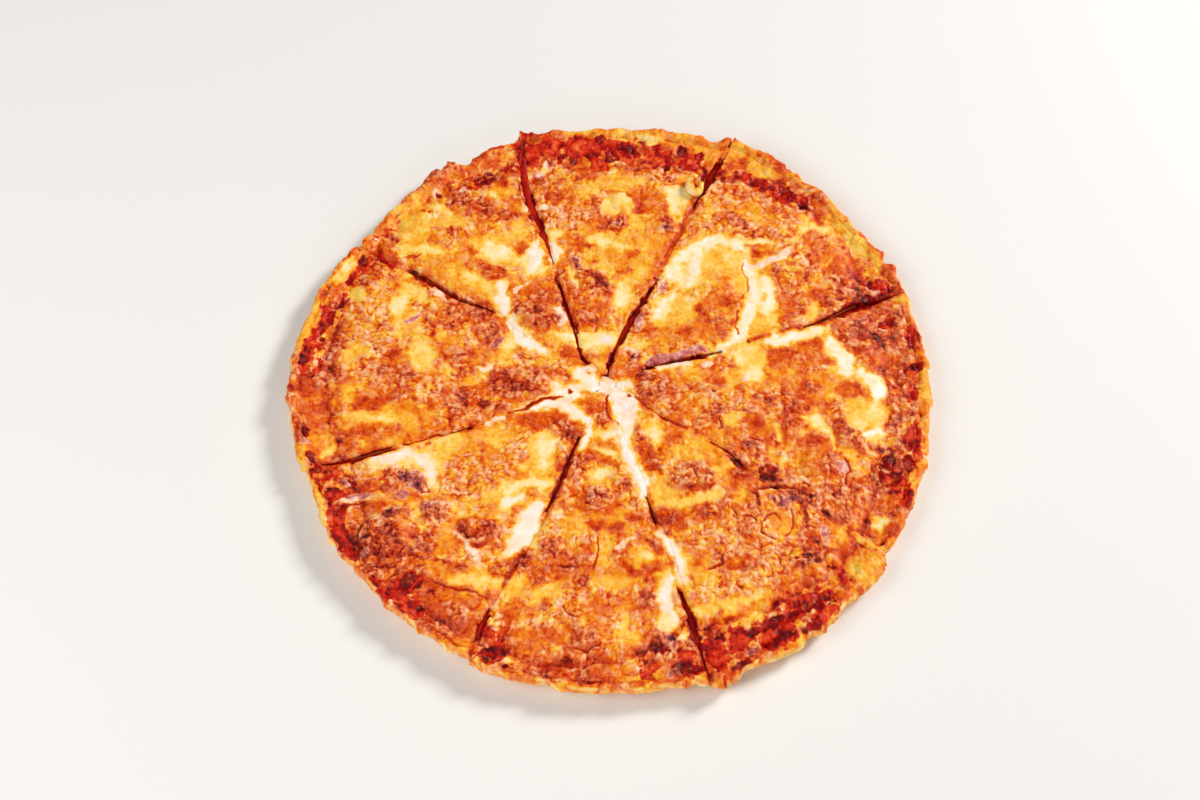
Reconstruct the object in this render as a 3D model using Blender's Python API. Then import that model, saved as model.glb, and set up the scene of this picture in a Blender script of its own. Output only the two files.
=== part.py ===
# A ham and pepperoni pizza, cut into eight uneven slices that still lie together.
# Lengths below are in millimetres and are turned into metres when a mesh is made.
# The origin is where the cuts meet, on the underside; +Z is up and the slices are
# numbered clockwise, seen from above, from the one furthest away along +Y.

import math

import bmesh
import bpy
import numpy as np
from mathutils import Vector
from mathutils.bvhtree import BVHTree

MM = 0.001

# Driving sizes
PIZZA_DIAMETER = 300.0
LAYER_GAP = 0.3
BASE_THICKNESS = 4.6
SAUCE_THICKNESS = 0.8
HAM_THICKNESS = 1.2
CHEESE_THICKNESS = 2.9
RIM_HEIGHT = 10.4
RIM_FLARE = 4.6  # how far the rim's edge stands out past its foot
EXPOSED_SAUCE_TOP = 8.6
TIP_WIDTH = 3.0  # a slice's point is blunt by this much
CUT_HALF_GAP = 0.25  # half of the narrowest cut
ROW_STEP = 6.2  # spacing of the rows of facets in the cheese
SIDE_STEP = 11.0  # spacing of the facets along a cut
RIM_COLUMNS = 25
SAUCE_COLUMNS = 13
EDGE_ROUNDING = 0.9
EDGE_WIDTH = 1.8
SEED = 11

# Levels of the layers, each a small gap above the one below
SAUCE_BOTTOM = BASE_THICKNESS + LAYER_GAP
SAUCE_TOP = SAUCE_BOTTOM + SAUCE_THICKNESS
HAM_BOTTOM = SAUCE_TOP + LAYER_GAP
HAM_TOP = HAM_BOTTOM + HAM_THICKNESS
CHEESE_BOTTOM = HAM_TOP + LAYER_GAP
CHEESE_TOP = CHEESE_BOTTOM + CHEESE_THICKNESS

# Where each cut runs, from the middle outwards: x, y and how far half of it gapes
CUTS = {
    "A": [(-4, 5.5, 0), (-12, 15, 0.2), (-14, 25, 0.3), (-17.5, 37.5, 0.6), (-26, 68, 0),
          (-30, 82, 0.9), (-38, 103, 1.3), (-41, 118, 1.6), (-42, 138, 0.2)],
    "B": [(0.5, 7, 0.1), (4.5, 20, 0.4), (10.5, 33, 1.3), (19, 48, 0.5), (32, 77, 0),
          (40, 93, 0), (47, 108, 0.5), (52, 119, 1.6), (63, 139, 0.2)],
    "C": [(6, 3, 0), (19, 9, 0), (38, 13.5, 0.8), (55, 18, 0.3), (85, 28, 0),
          (103, 35, 0.4), (118, 42, 2.0), (136, 48, 0.2)],
    "D": [(5, -3.5, 0), (15, -9, 0), (27, -19, 0), (37, -23, 0.1), (54, -34, 0.2),
          (64, -45, 0.3), (76, -53, 0.2), (98, -67, 0), (122, -85, 0)],
    "E": [(0.5, -6, 0), (4, -22, 0.1), (10.5, -38, 0), (18, -58, 0.2), (21, -68, 0.8),
          (26, -80, 0), (31, -99, 0.1), (37, -118, 1.3), (42, -138, 0.1)],
    "F": [(-4, -6, 0), (-9.5, -20, 0), (-15.5, -34, 0.5), (-21, -50, 0.7), (-29.5, -69, 0.3),
          (-39, -87, 0), (-49, -106, 0), (-55, -119, 0.9), (-59, -133, 0)],
    "G": [(-7, -3, 0), (-25, -8.5, 0), (-40, -15, 0), (-60, -22, 0), (-90, -30, 0.2),
          (-104, -35, 1.2), (-120, -39.5, 0.6), (-135, -42.5, 0)],
    "H": [(-3.5, 3.5, 0), (-15, 12.5, 0), (-25, 17, 0), (-40, 25, 0), (-51, 38, 0),
          (-70, 46, 1.0), (-92, 61, 0.9), (-112, 72, 0.1), (-121, 77, 0.3)],
}

# For each slice, clockwise: its two cuts, then three sizes at the first cut, the middle
# and the second cut: how far the rim falls short of or passes the nominal radius, how
# far from the middle the cheese reaches, and the width of the bare rim.
SLICES = [
    {"cuts": "AB", "rim": (1.5, -2.8, 2.0), "cheese": (123, 127, 123), "lip": (4.5, 5.0, 4.0)},
    {"cuts": "BC", "rim": (5.0, 1.5, 2.2), "cheese": (130, 136, 129), "lip": (4.5, 5.0, 5.0)},
    {"cuts": "CD", "rim": (2.0, 0.6, 0.4), "cheese": (134, 135, 138), "lip": (4.5, 6.5, 6.0)},
    {"cuts": "DE", "rim": (1.8, 1.0, 0.4), "cheese": (137, 135, 127), "lip": (9.0, 8.0, 5.5)},
    {"cuts": "EF", "rim": (-0.8, -2.3, -2.2), "cheese": (127, 137, 136), "lip": (4.5, 4.0, 4.5)},
    {"cuts": "FG", "rim": (-4.2, -5.6, -5.8), "cheese": (134, 134, 124), "lip": (4.0, 4.0, 5.5)},
    {"cuts": "GH", "rim": (-5.2, -1.6, -4.6), "cheese": (124, 130, 133), "lip": (5.5, 5.0, 4.5)},
    {"cuts": "HA", "rim": (-5.2, -4.6, -1.0), "cheese": (133, 135, 130), "lip": (5.5, 6.5, 5.0)},
]

# Bumps and notches of the rim's edge: direction in degrees, how far out, half width
RIM_BUMPS = [
    (66.5, 3.2, 1.2), (28.6, 1.8, 1.0), (81.5, 2.6, 2.4), (119.4, -2.6, 1.3), (121.8, 2.6, 1.2),
    (-68.8, 2.6, 1.6), (-34.8, -1.8, 1.2), (147.0, -2.4, 1.0), (-124.5, 1.4, 0.8),
    (-147.0, -1.2, 2.5), (131.5, 1.2, 2.0), (57.0, 1.2, 2.5), (-52.5, 1.2, 1.5),
]

# The rim's profile, from its inner foot over the crest to its outer foot. Each step is
# how far in from the edge, as a part of the lip's width, then a part of the rim's height.
RIM_PROFILE = [(1.62, None), (1.12, 0.83), (0.58, 1.0), (0.16, 0.93), (0.0, 0.62)]
RIM_OUTER_STEPS = [(0.25, 0.26), (1.0, 0.0)]  # parts of the flare and of the height

# Swells and hollows of the melted cheese: x, y, radius, height
CHEESE_SWELLS = [
    (-99, -78, 17, 1.6), (88, 70, 16, 0.9), (52, 52, 15, 0.8), (96, -42, 13, 0.9),
    (-80, 60, 15, 0.9), (-60, 90, 14, 0.8), (-8, 112, 15, 0.8), (-90, 10, 16, 0.8),
    (15, -86, 11, 0.7), (-10, -122, 14, 0.9), (70, -90, 16, 0.9), (40, 20, 12, 0.6),
    (-50, -48, 14, 0.6), (-33, 38, 12, 0.9), (-5, 42, 12, 0.7), (-12, -76, 12, 0.5),
    (62, -10, 13, 0.7), (-55, 12, 13, 0.5), (36, -92, 12, 0.6), (-30, 0, 14, 0.6),
    (37, 64, 9, -1.0), (66, 50, 8, -1.0), (-36, -72, 9, -1.1), (7, -14, 9, -1.1),
    (-84, -42, 8, -0.9), (125, -8, 7, -0.8), (26, -106, 6, -0.8), (-44, 30, 7, -0.9),
    (-4, 26, 7, -0.8), (26, -56, 9, -0.7), (-2, -47, 6, -0.8), (78, -28, 8, -0.6),
]

# Browned pieces of meat, sunk in the cheese: x, y, length, width, turn in degrees
PEPPERONI = [
    (-98, -77, 28, 23, 60), (-57, -74, 19, 15, -20), (-77, -65, 14, 12, 30),
    (41, -47, 23, 14, 10), (-5, -60, 15, 12, 0), (111, -26, 19, 13, -50),
    (9, 103, 15, 13, 0), (-35, 37, 22, 14, -15), (-8, 57, 17, 10, -35),
    (-34, 1, 30, 14, 8), (23, -2, 17, 11, -20), (97, -42, 20, 17, 0),
    (87, -86, 16, 12, 20), (129, -43, 17, 13, 35), (-8, -123, 16, 14, 0),
]
PEPPERONI_THICKNESS = 1.9
PEPPERONI_EDGE = 0.55

# The curled ring of pepper near the second slice's first cut
RING = {"centre": (44.0, 110.5), "radii": (3.6, 4.8), "tube": 1.7, "start": 70, "sweep": 300}

MATERIALS = {
    "crust": ((0.83, 0.46, 0.10), 0.75),
    "sauce": ((0.50, 0.03, 0.01), 0.35),
    "ham": ((0.68, 0.22, 0.20), 0.5),
    "cheese": ((0.90, 0.42, 0.06), 0.4),
    "pepperoni": ((0.42, 0.10, 0.04), 0.5),
    "pepper": ((0.95, 0.62, 0.10), 0.4),
}


def clear_scene():
    for item in list(bpy.data.objects):
        bpy.data.objects.remove(item, do_unlink=True)


def make_material(name):
    color, roughness = MATERIALS[name]
    material = bpy.data.materials.new(name)
    material.use_nodes = True
    shader = material.node_tree.nodes["Principled BSDF"]
    shader.inputs["Base Color"].default_value = (*color, 1.0)
    shader.inputs["Roughness"].default_value = roughness
    shader.inputs["Metallic"].default_value = 0.0
    return material


def add_object(name, points, faces, material):
    # A mesh from points in millimetres, with its faces turned outwards
    mesh = bpy.data.meshes.new(name)
    mesh.from_pydata([Vector(p) * MM for p in points], [], faces)
    mesh.materials.append(material)
    body = bmesh.new()
    body.from_mesh(mesh)
    bmesh.ops.recalc_face_normals(body, faces=body.faces)
    body.to_mesh(mesh)
    body.free()
    mesh.shade_smooth()
    mesh.set_sharp_from_angle(angle=math.radians(40))
    item = bpy.data.objects.new(name, mesh)
    bpy.context.scene.collection.objects.link(item)
    return item


# The plan of a slice

def cut_path(name):
    # The cut as radius, direction and half gap, each a row of numbers
    points = np.array(CUTS[name], float)
    radius = np.hypot(points[:, 0], points[:, 1])
    direction = np.unwrap(np.arctan2(points[:, 1], points[:, 0]))
    return radius, direction, points[:, 2]


def cut_side(name, radius, side):
    # Direction of one side of a cut at a radius; side is +1 anticlockwise, -1 clockwise
    radii, directions, gaps = cut_path(name)
    direction = np.interp(radius, radii, directions)
    gap = CUT_HALF_GAP + np.interp(radius, radii, gaps)
    return direction + side * gap / radius


def across(piece, radius, share):
    # Direction at a share of the way from the slice's first cut to its second
    first = cut_side(piece["cuts"][0], radius, -1)
    second = cut_side(piece["cuts"][1], radius, +1)
    if second > first:
        second -= 2 * math.pi
    return first + (second - first) * share


def width_at(piece, radius):
    return radius * abs(across(piece, radius, 1.0) - across(piece, radius, 0.0))


def tip_radius(piece):
    radii, _, _ = cut_path(piece["cuts"][0])
    radius = 4.0
    while width_at(piece, radius) < TIP_WIDTH:
        radius += 0.5
    return radius


def eased(values, share):
    # A smooth curve through the values at the first cut, the middle and the second cut
    first, middle, second = values
    return first * (1 - share) * (1 - 2 * share) + 4 * middle * share * (1 - share) \
        + second * share * (2 * share - 1)


def smooth_rim(piece, share):
    return PIZZA_DIAMETER / 2 + eased(piece["rim"], share)


def craggy_rim(piece, share, phases):
    # The rim's edge: the smooth outline with bumps, notches and uneven crags
    radius = smooth_rim(piece, share)
    angle = math.degrees(across(piece, radius, share))
    for direction, height, half_width in RIM_BUMPS:
        away = (angle - direction + 180) % 360 - 180
        radius += height * math.exp(-(away / half_width) ** 2)
    for waves, size, phase in phases:
        radius += size * math.sin(waves * math.radians(angle) + phase)
    return radius


def place(piece, radius, share, height):
    angle = across(piece, radius, share)
    return (radius * math.cos(angle), radius * math.sin(angle), height)


# Rows of points and the facets between them

def row_shares(piece, radius, columns, edge=0.0):
    # Even shares across the slice; an edge width adds a narrow strip along both cuts
    if edge == 0.0 or columns < 4:
        return list(np.linspace(0, 1, columns))
    strip = min(edge / width_at(piece, radius), 0.5 / (columns - 1))
    return [0.0] + list(np.linspace(strip, 1 - strip, columns - 2)) + [1.0]


def stitch(row, other, faces):
    # Triangles between two rows, each a list of (share, point number)
    i = j = 0
    while i < len(row) - 1 or j < len(other) - 1:
        next_i = row[i + 1][0] if i < len(row) - 1 else math.inf
        next_j = other[j + 1][0] if j < len(other) - 1 else math.inf
        if next_i <= next_j:
            faces.append((row[i][1], row[i + 1][1], other[j][1]))
            i += 1
        else:
            faces.append((row[i][1], other[j + 1][1], other[j][1]))
            j += 1


def close_layer(name, piece, rows, side_radii, floor, material):
    # A closed solid under rows of (share, point), which run from the slice's tip to the
    # foot of its outer wall. The underside is flat, and its last row is the rows' last.
    points = []
    faces = []

    def number(row):
        first = len(points)
        points.extend(point for _, point in row)
        return [(share, first + k) for k, (share, _) in enumerate(row)]

    top = [number(row) for row in rows]
    under = [number([(share, place(piece, radius, share, floor)) for share in (0.0, 1.0)])
             for radius in side_radii]
    under.append(top[-1])
    for row, other in zip(top, top[1:]):
        stitch(row, other, faces)
    for row, other in zip(under, under[1:]):
        stitch(row, other, faces)
    stitch(top[0], under[0], faces)
    for end in (0, -1):
        reach = [math.hypot(*points[row[end][1]][:2]) for row in top]
        foot = side_radii[-1]
        upper = [(min(r, foot) + (k * 1e-3 if r > foot else 0.0), row[end][1])
                 for k, (r, row) in enumerate(zip(reach, top))]
        upper[-1] = (math.inf, upper[-1][1])
        lower = [(radius, row[end][1]) for radius, row in zip(side_radii, under)]
        lower.append((math.inf, top[-1][end][1]))
        stitch(upper[:-1], lower[:-1], faces)
        faces.append((upper[-2][1], upper[-1][1], lower[-2][1]))
    return add_object(name, points, faces, material)


def side_stations(start, end):
    return list(np.linspace(start, end, max(2, round((end - start) / SIDE_STEP) + 1)))


# The layers

def make_crust(number, piece, material, phases):
    tip = tip_radius(piece)
    shares = list(np.linspace(0, 1, RIM_COLUMNS))

    def inner(share, step):
        lip = eased(piece["lip"], share)
        return smooth_rim(piece, share) - lip * step

    foot = min(inner(0.0, RIM_PROFILE[0][0]), inner(1.0, RIM_PROFILE[0][0]))
    stations = side_stations(tip, foot)
    rows = [[(s, place(piece, r, s, BASE_THICKNESS)) for s in (0.0, 1.0)] for r in stations[:-1]]
    for step, part in RIM_PROFILE:
        row = []
        for share in shares:
            edge = craggy_rim(piece, share, phases) - smooth_rim(piece, share)
            radius = inner(share, step) + edge * max(0.0, 1 - step) ** 0.7
            height = BASE_THICKNESS
            if part is not None:
                rough = 1 + 0.05 * math.sin(40 * share + 7 * number + 3 * step) + 0.03 * edge
                height = RIM_HEIGHT * part * rough
            row.append((share, place(piece, radius, share, height)))
        rows.append(row)
    for step, part in RIM_OUTER_STEPS:
        row = []
        for share in shares:
            edge = craggy_rim(piece, share, phases) - smooth_rim(piece, share)
            radius = smooth_rim(piece, share) - RIM_FLARE * step + edge * (1 - 0.7 * step)
            row.append((share, place(piece, radius, share, RIM_HEIGHT * part)))
        rows.append(row)
    under = [r for r in stations if r < foot - 1e-6] + [foot - 0.5]
    return close_layer(f"crust_{number}", piece, rows, under, 0.0, material)


def make_sauce(number, piece, material, rng):
    tip = tip_radius(piece) + 0.6
    shares = list(np.linspace(0, 1, SAUCE_COLUMNS))
    lumps = rng.uniform(-0.7, 0.5, (3, SAUCE_COLUMNS))

    def cheese_edge(share):
        return eased(piece["cheese"], share)

    def outer(share):
        return smooth_rim(piece, share) - eased(piece["lip"], share) * RIM_PROFILE[0][0] - 0.4

    foot = min(cheese_edge(0.0), cheese_edge(1.0)) + LAYER_GAP
    stations = side_stations(tip, foot)
    rows = [[(s, place(piece, r, s, SAUCE_TOP)) for s in (0.0, 1.0)] for r in stations[:-1]]
    rows.append([(s, place(piece, cheese_edge(s) + 0.4, s, SAUCE_TOP)) for s in shares])
    for ring, (part, drop) in enumerate([(0.12, 0.6), (0.5, 0.0), (0.96, 0.9)]):
        row = []
        for k, share in enumerate(shares):
            start = cheese_edge(share) + 0.6
            radius = start + (outer(share) - start) * part
            height = EXPOSED_SAUCE_TOP - drop + lumps[ring, k]
            row.append((share, place(piece, radius, share, min(height, EXPOSED_SAUCE_TOP))))
        rows.append(row)
    rows.append([(s, place(piece, outer(s), s, SAUCE_BOTTOM)) for s in shares])
    return close_layer(f"sauce_{number}", piece, rows, stations, SAUCE_BOTTOM, material)


def make_ham(number, piece, material):
    tip = tip_radius(piece) + 0.3
    shares = list(np.linspace(0, 1, SAUCE_COLUMNS))

    def reach(share):
        return eased(piece["cheese"], share) - 0.6

    foot = min(reach(0.0), reach(1.0))
    stations = side_stations(tip, foot)
    rows = [[(s, place(piece, r, s, HAM_TOP)) for s in (0.0, 1.0)] for r in stations[:-1]]
    rows.append([(s, place(piece, reach(s), s, HAM_TOP)) for s in shares])
    rows.append([(s, place(piece, reach(s), s, HAM_BOTTOM)) for s in shares])
    return close_layer(f"ham_{number}", piece, rows, stations[:-1], HAM_BOTTOM, material)


def cheese_height(x, y, waves):
    # The melted top: a few long waves, with its swells and hollows added
    height = CHEESE_TOP
    for along_x, along_y, size, phase in waves:
        height += size * math.sin(along_x * x + along_y * y + phase)
    for centre_x, centre_y, radius, rise in CHEESE_SWELLS:
        away = ((x - centre_x) ** 2 + (y - centre_y) ** 2) / radius ** 2
        height += rise * math.exp(-2 * away)
    return height


def make_cheese(number, piece, material, waves):
    tip = tip_radius(piece) + 0.2
    middle = eased(piece["cheese"], 0.5)
    count = round((middle - tip) / ROW_STEP)
    steps = [0.0, 0.3] + list(np.linspace(1, count - 0.35, count)) + [float(count)]
    rows = []
    for step in steps:
        part = step / count
        radius = tip + (middle - tip) * part
        columns = max(3, round(width_at(piece, radius) / (1.15 * ROW_STEP)) + 2)
        row = []
        for share in row_shares(piece, radius, columns, EDGE_WIDTH):
            radius = tip + (eased(piece["cheese"], share) - tip) * part
            x, y, _ = place(piece, radius, share, 0.0)
            at_edge = share in (0.0, 1.0) or step in (0.0, float(count))
            height = cheese_height(x, y, waves) - (EDGE_ROUNDING if at_edge else 0.0)
            row.append((share, (x, y, height)))
        rows.append(row)
    ends = [share for share, _ in rows[-1]]
    rows.append([(s, place(piece, eased(piece["cheese"], s), s, CHEESE_BOTTOM)) for s in ends])
    foot = min(eased(piece["cheese"], 0.0), eased(piece["cheese"], 1.0))
    stations = side_stations(tip, foot)[:-1]
    return close_layer(f"cheese_{number}", piece, rows, stations, CHEESE_BOTTOM, material)


# Toppings that lie on the cheese

def surface_tree(items):
    # One tree of all the layers, to find the height of what is under a topping
    points = []
    faces = []
    for item in items:
        first = len(points)
        points.extend(vertex.co.copy() for vertex in item.data.vertices)
        faces.extend([first + k for k in face.vertices] for face in item.data.polygons)
    return BVHTree.FromPolygons(points, faces)


def height_under(tree, x, y, spread=2.2):
    # The highest surface at and around a point, in millimetres
    best = CHEESE_BOTTOM
    for k in range(9):
        reach = spread if k else 0.0
        angle = k * math.pi / 4
        start = Vector((x + reach * math.cos(angle), y + reach * math.sin(angle), 50)) * MM
        hit, _, _, _ = tree.ray_cast(start, Vector((0, 0, -1)))
        if hit is not None:
            best = max(best, hit.z / MM)
    return best


def lift_clear(floors, edges, tree):
    # Raises the ends of each edge of an underside until its middle clears what is below
    for first, second in edges:
        for part in (0.25, 0.5, 0.75):
            x, y, height = (a + (b - a) * part for a, b in zip(floors[first], floors[second]))
            short = height_under(tree, x, y, spread=0.8) + LAYER_GAP - height
            if short > 0:
                floors[first][2] += short
                floors[second][2] += short


def make_pepperoni(name, place_and_size, tree, material, rng):
    # A lens with an uneven outline, its underside following what it lies on
    centre_x, centre_y, length, width, turn = place_and_size
    turn = math.radians(turn)
    around = 13
    wobble = 1 + rng.uniform(-0.09, 0.09, around)
    floors = []
    thicknesses = []
    for part, thickness in ((1.0, PEPPERONI_EDGE), (0.6, PEPPERONI_THICKNESS * 0.85)):
        for k in range(around):
            angle = 2 * math.pi * k / around
            u = length / 2 * part * wobble[k] * math.cos(angle)
            v = width / 2 * part * wobble[k] * math.sin(angle)
            x = centre_x + u * math.cos(turn) - v * math.sin(turn)
            y = centre_y + u * math.sin(turn) + v * math.cos(turn)
            floors.append([x, y, height_under(tree, x, y, spread=1.2) + LAYER_GAP])
            thicknesses.append(thickness + rng.uniform(-0.15, 0.15))
    floors.append([centre_x, centre_y, height_under(tree, centre_x, centre_y) + LAYER_GAP])
    thicknesses.append(PEPPERONI_THICKNESS)
    centre = 2 * around
    faces = []
    edges = []
    for k in range(around):
        after = (k + 1) % around
        faces.append((k, after, around + after))
        faces.append((k, around + after, around + k))
        faces.append((around + k, around + after, centre))
        edges.extend([(k, after), (k, around + after), (k, around + k),
                      (around + k, around + after), (around + k, centre)])
    lift_clear(floors, edges, tree)
    under = len(floors)
    points = [(x, y, floor + rise) for (x, y, floor), rise in zip(floors, thicknesses)]
    points.extend(floors)
    faces.extend([tuple(under + corner for corner in face) for face in faces])
    for k in range(around):
        after = (k + 1) % around
        faces.append((k, after, under + after, under + k))
    return add_object(name, points, faces, material)


def make_ring(name, tree, material):
    # A tube along an open oval, with its ends closed
    centre_x, centre_y = RING["centre"]
    radius_x, radius_y = RING["radii"]
    tube = RING["tube"]
    floor = height_under(tree, centre_x, centre_y, spread=radius_y + tube) + LAYER_GAP
    stations, sides = 17, 7
    points = []
    for i in range(stations):
        angle = math.radians(RING["start"] + RING["sweep"] * i / (stations - 1))
        thickness = tube * (0.72 + 0.28 * math.sin(math.pi * i / (stations - 1)))
        for k in range(sides):
            around = 2 * math.pi * (k + 0.25) / sides
            out = thickness * math.cos(around)
            x = centre_x + (radius_x + out) * math.cos(angle)
            y = centre_y + (radius_y + out) * math.sin(angle)
            points.append((x, y, floor + thickness * (1 + math.sin(around))))
    faces = [tuple(range(sides)), tuple((stations - 1) * sides + k for k in range(sides))]
    for i in range(stations - 1):
        for k in range(sides):
            after = (k + 1) % sides
            row, other = i * sides, (i + 1) * sides
            faces.append((row + k, row + after, other + after, other + k))
    return add_object(name, points, faces, material)


def main():
    clear_scene()
    materials = {name: make_material(name) for name in MATERIALS}
    rng = np.random.default_rng(SEED)
    phases = [(waves, size, rng.uniform(0, 2 * math.pi))
              for waves, size in ((19, 0.35), (31, 0.4), (53, 0.35), (87, 0.25))]
    waves = [(rng.uniform(-0.16, 0.16), rng.uniform(-0.16, 0.16), 0.16, rng.uniform(0, 6.28))
             for _ in range(6)]
    layers = []
    for number, piece in enumerate(SLICES, start=1):
        layers.append(make_crust(number, piece, materials["crust"], phases))
        layers.append(make_sauce(number, piece, materials["sauce"], rng))
        layers.append(make_ham(number, piece, materials["ham"]))
        layers.append(make_cheese(number, piece, materials["cheese"], waves))
    tree = surface_tree(layers)
    for number, place_and_size in enumerate(PEPPERONI, start=1):
        make_pepperoni(f"pepperoni_{number}", place_and_size, tree, materials["pepperoni"], rng)
    make_ring("pepper_ring", tree, materials["pepper"])


main()
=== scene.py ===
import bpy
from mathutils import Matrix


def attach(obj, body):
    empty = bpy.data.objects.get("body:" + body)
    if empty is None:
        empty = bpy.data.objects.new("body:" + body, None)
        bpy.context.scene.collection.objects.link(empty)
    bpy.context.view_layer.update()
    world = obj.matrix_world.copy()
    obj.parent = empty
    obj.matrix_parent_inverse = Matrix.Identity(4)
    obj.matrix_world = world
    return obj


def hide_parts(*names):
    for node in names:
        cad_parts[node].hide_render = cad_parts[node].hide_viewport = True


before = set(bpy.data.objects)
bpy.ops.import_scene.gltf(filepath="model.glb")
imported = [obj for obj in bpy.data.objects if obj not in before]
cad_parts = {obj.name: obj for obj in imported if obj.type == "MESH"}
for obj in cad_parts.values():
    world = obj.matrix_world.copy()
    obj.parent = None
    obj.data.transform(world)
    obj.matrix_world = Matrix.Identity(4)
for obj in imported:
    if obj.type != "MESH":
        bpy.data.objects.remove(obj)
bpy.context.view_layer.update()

import math

import bpy
import numpy as np

mm = 0.001    # all lengths below are in millimetres

# the pizza's plan, the same as the solids'
pizza = {
    "radius": 150.0,
    "baseThickness": 4.6,
    "sauceTop": 5.7,
    "hamTop": 7.2,
    "cheeseTop": 10.4,
    "rimHeight": 10.4,
    "rimFlare": 4.6,
    "bareSauceTop": 8.6,
    "tipWidth": 3.0,
    "cutHalfGap": 0.25,
    "seed": 11,
}

# each cut from the middle outwards: x, y and how far half of it gapes
cuts = {
    "A": [(-4, 5.5, 0), (-12, 15, 0.2), (-14, 25, 0.3), (-17.5, 37.5, 0.6), (-26, 68, 0),
          (-30, 82, 0.9), (-38, 103, 1.3), (-41, 118, 1.6), (-42, 138, 0.2)],
    "B": [(0.5, 7, 0.1), (4.5, 20, 0.4), (10.5, 33, 1.3), (19, 48, 0.5), (32, 77, 0),
          (40, 93, 0), (47, 108, 0.5), (52, 119, 1.6), (63, 139, 0.2)],
    "C": [(6, 3, 0), (19, 9, 0), (38, 13.5, 0.8), (55, 18, 0.3), (85, 28, 0),
          (103, 35, 0.4), (118, 42, 2.0), (136, 48, 0.2)],
    "D": [(5, -3.5, 0), (15, -9, 0), (27, -19, 0), (37, -23, 0.1), (54, -34, 0.2),
          (64, -45, 0.3), (76, -53, 0.2), (98, -67, 0), (122, -85, 0)],
    "E": [(0.5, -6, 0), (4, -22, 0.1), (10.5, -38, 0), (18, -58, 0.2), (21, -68, 0.8),
          (26, -80, 0), (31, -99, 0.1), (37, -118, 1.3), (42, -138, 0.1)],
    "F": [(-4, -6, 0), (-9.5, -20, 0), (-15.5, -34, 0.5), (-21, -50, 0.7), (-29.5, -69, 0.3),
          (-39, -87, 0), (-49, -106, 0), (-55, -119, 0.9), (-59, -133, 0)],
    "G": [(-7, -3, 0), (-25, -8.5, 0), (-40, -15, 0), (-60, -22, 0), (-90, -30, 0.2),
          (-104, -35, 1.2), (-120, -39.5, 0.6), (-135, -42.5, 0)],
    "H": [(-3.5, 3.5, 0), (-15, 12.5, 0), (-25, 17, 0), (-40, 25, 0), (-51, 38, 0),
          (-70, 46, 1.0), (-92, 61, 0.9), (-112, 72, 0.1), (-121, 77, 0.3)],
}

# each slice's cuts, then its sizes at its first cut, middle and second cut: the rim past the
# nominal radius, the cheese's reach, the bare rim's width, how far the melt spills past its reach
sliceRows = [
    ("AB", (1.5, -2.8, 2.0), (123, 127, 123), (4.5, 5.0, 4.0), (0, 0, 0)),
    ("BC", (5.0, 1.5, 2.2), (130, 136, 129), (4.5, 5.0, 5.0), (2, 7, 3)),
    ("CD", (2.0, 0.6, 0.4), (134, 135, 138), (4.5, 6.5, 6.0), (0, -2, 0)),
    ("DE", (1.8, 1.0, 0.4), (137, 135, 127), (9.0, 8.0, 5.5), (3, -1, 0)),
    ("EF", (-0.8, -2.3, -2.2), (127, 137, 136), (4.5, 4.0, 4.5), (0, 2, 4)),
    ("FG", (-4.2, -5.6, -5.8), (134, 134, 124), (4.0, 4.0, 5.5), (6, 0, 0)),
    ("GH", (-5.2, -1.6, -4.6), (124, 130, 133), (5.5, 5.0, 4.5), (4, 4, 1)),
    ("HA", (-5.2, -4.6, -1.0), (133, 135, 130), (5.5, 6.5, 5.0), (3, 5, 2)),
]
slices = [dict(zip(("cuts", "rim", "cheese", "lip", "spill"), sizes)) for sizes in sliceRows]

# bumps and notches of the rim: direction in degrees, how far out, half width
rimBumps = [
    (66.5, 3.2, 1.2), (28.6, 3.0, 1.0), (81.5, 2.6, 2.4), (119.4, -2.6, 1.3), (121.8, 2.6, 1.2),
    (-68.8, 2.6, 1.6), (-34.8, -1.8, 1.2), (147.0, -2.4, 1.0), (-124.5, 1.4, 0.8),
    (-147.0, 1.8, 3.5), (131.5, 1.2, 2.0), (57.0, 2.2, 2.5), (-52.5, 1.2, 1.5), (25.0, 3.0, 1.2),
    (88.0, 1.8, 4.0), (74.0, 2.2, 4.0), (48.0, 1.8, 4.5), (-40.0, 1.4, 4.0), (-58.5, 1.8, 3.0),
    (-71.4, 3.2, 1.0), (125.5, 4.4, 4.0), (106.8, 2.4, 0.8), (180.0, 1.4, 6.0), (62.0, 1.6, 3.0),
]

# swells and hollows of the melted cheese: x, y, radius, height
cheeseSwells = [
    (-99, -78, 17, 1.6), (88, 70, 16, 0.9), (52, 52, 15, 0.8), (96, -42, 13, 0.9),
    (-80, 60, 15, 0.9), (-60, 90, 14, 0.8), (-8, 112, 15, 0.8), (-90, 10, 16, 0.8),
    (15, -86, 11, 0.7), (-10, -122, 14, 0.9), (70, -90, 16, 0.9), (40, 20, 12, 0.6),
    (-50, -48, 14, 0.6), (-33, 38, 12, 0.9), (-5, 42, 12, 0.7), (-12, -76, 12, 0.5),
    (62, -10, 13, 0.7), (-55, 12, 13, 0.5), (36, -92, 12, 0.6), (-30, 0, 14, 0.6),
    (37, 64, 9, -1.0), (66, 50, 8, -1.0), (-36, -72, 9, -1.1), (7, -14, 9, -1.1),
    (-84, -42, 8, -0.9), (125, -8, 7, -0.8), (26, -106, 6, -0.8), (-44, 30, 7, -0.9),
    (-4, 26, 7, -0.8), (26, -56, 9, -0.7), (-2, -47, 6, -0.8), (78, -28, 8, -0.6),
]

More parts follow.
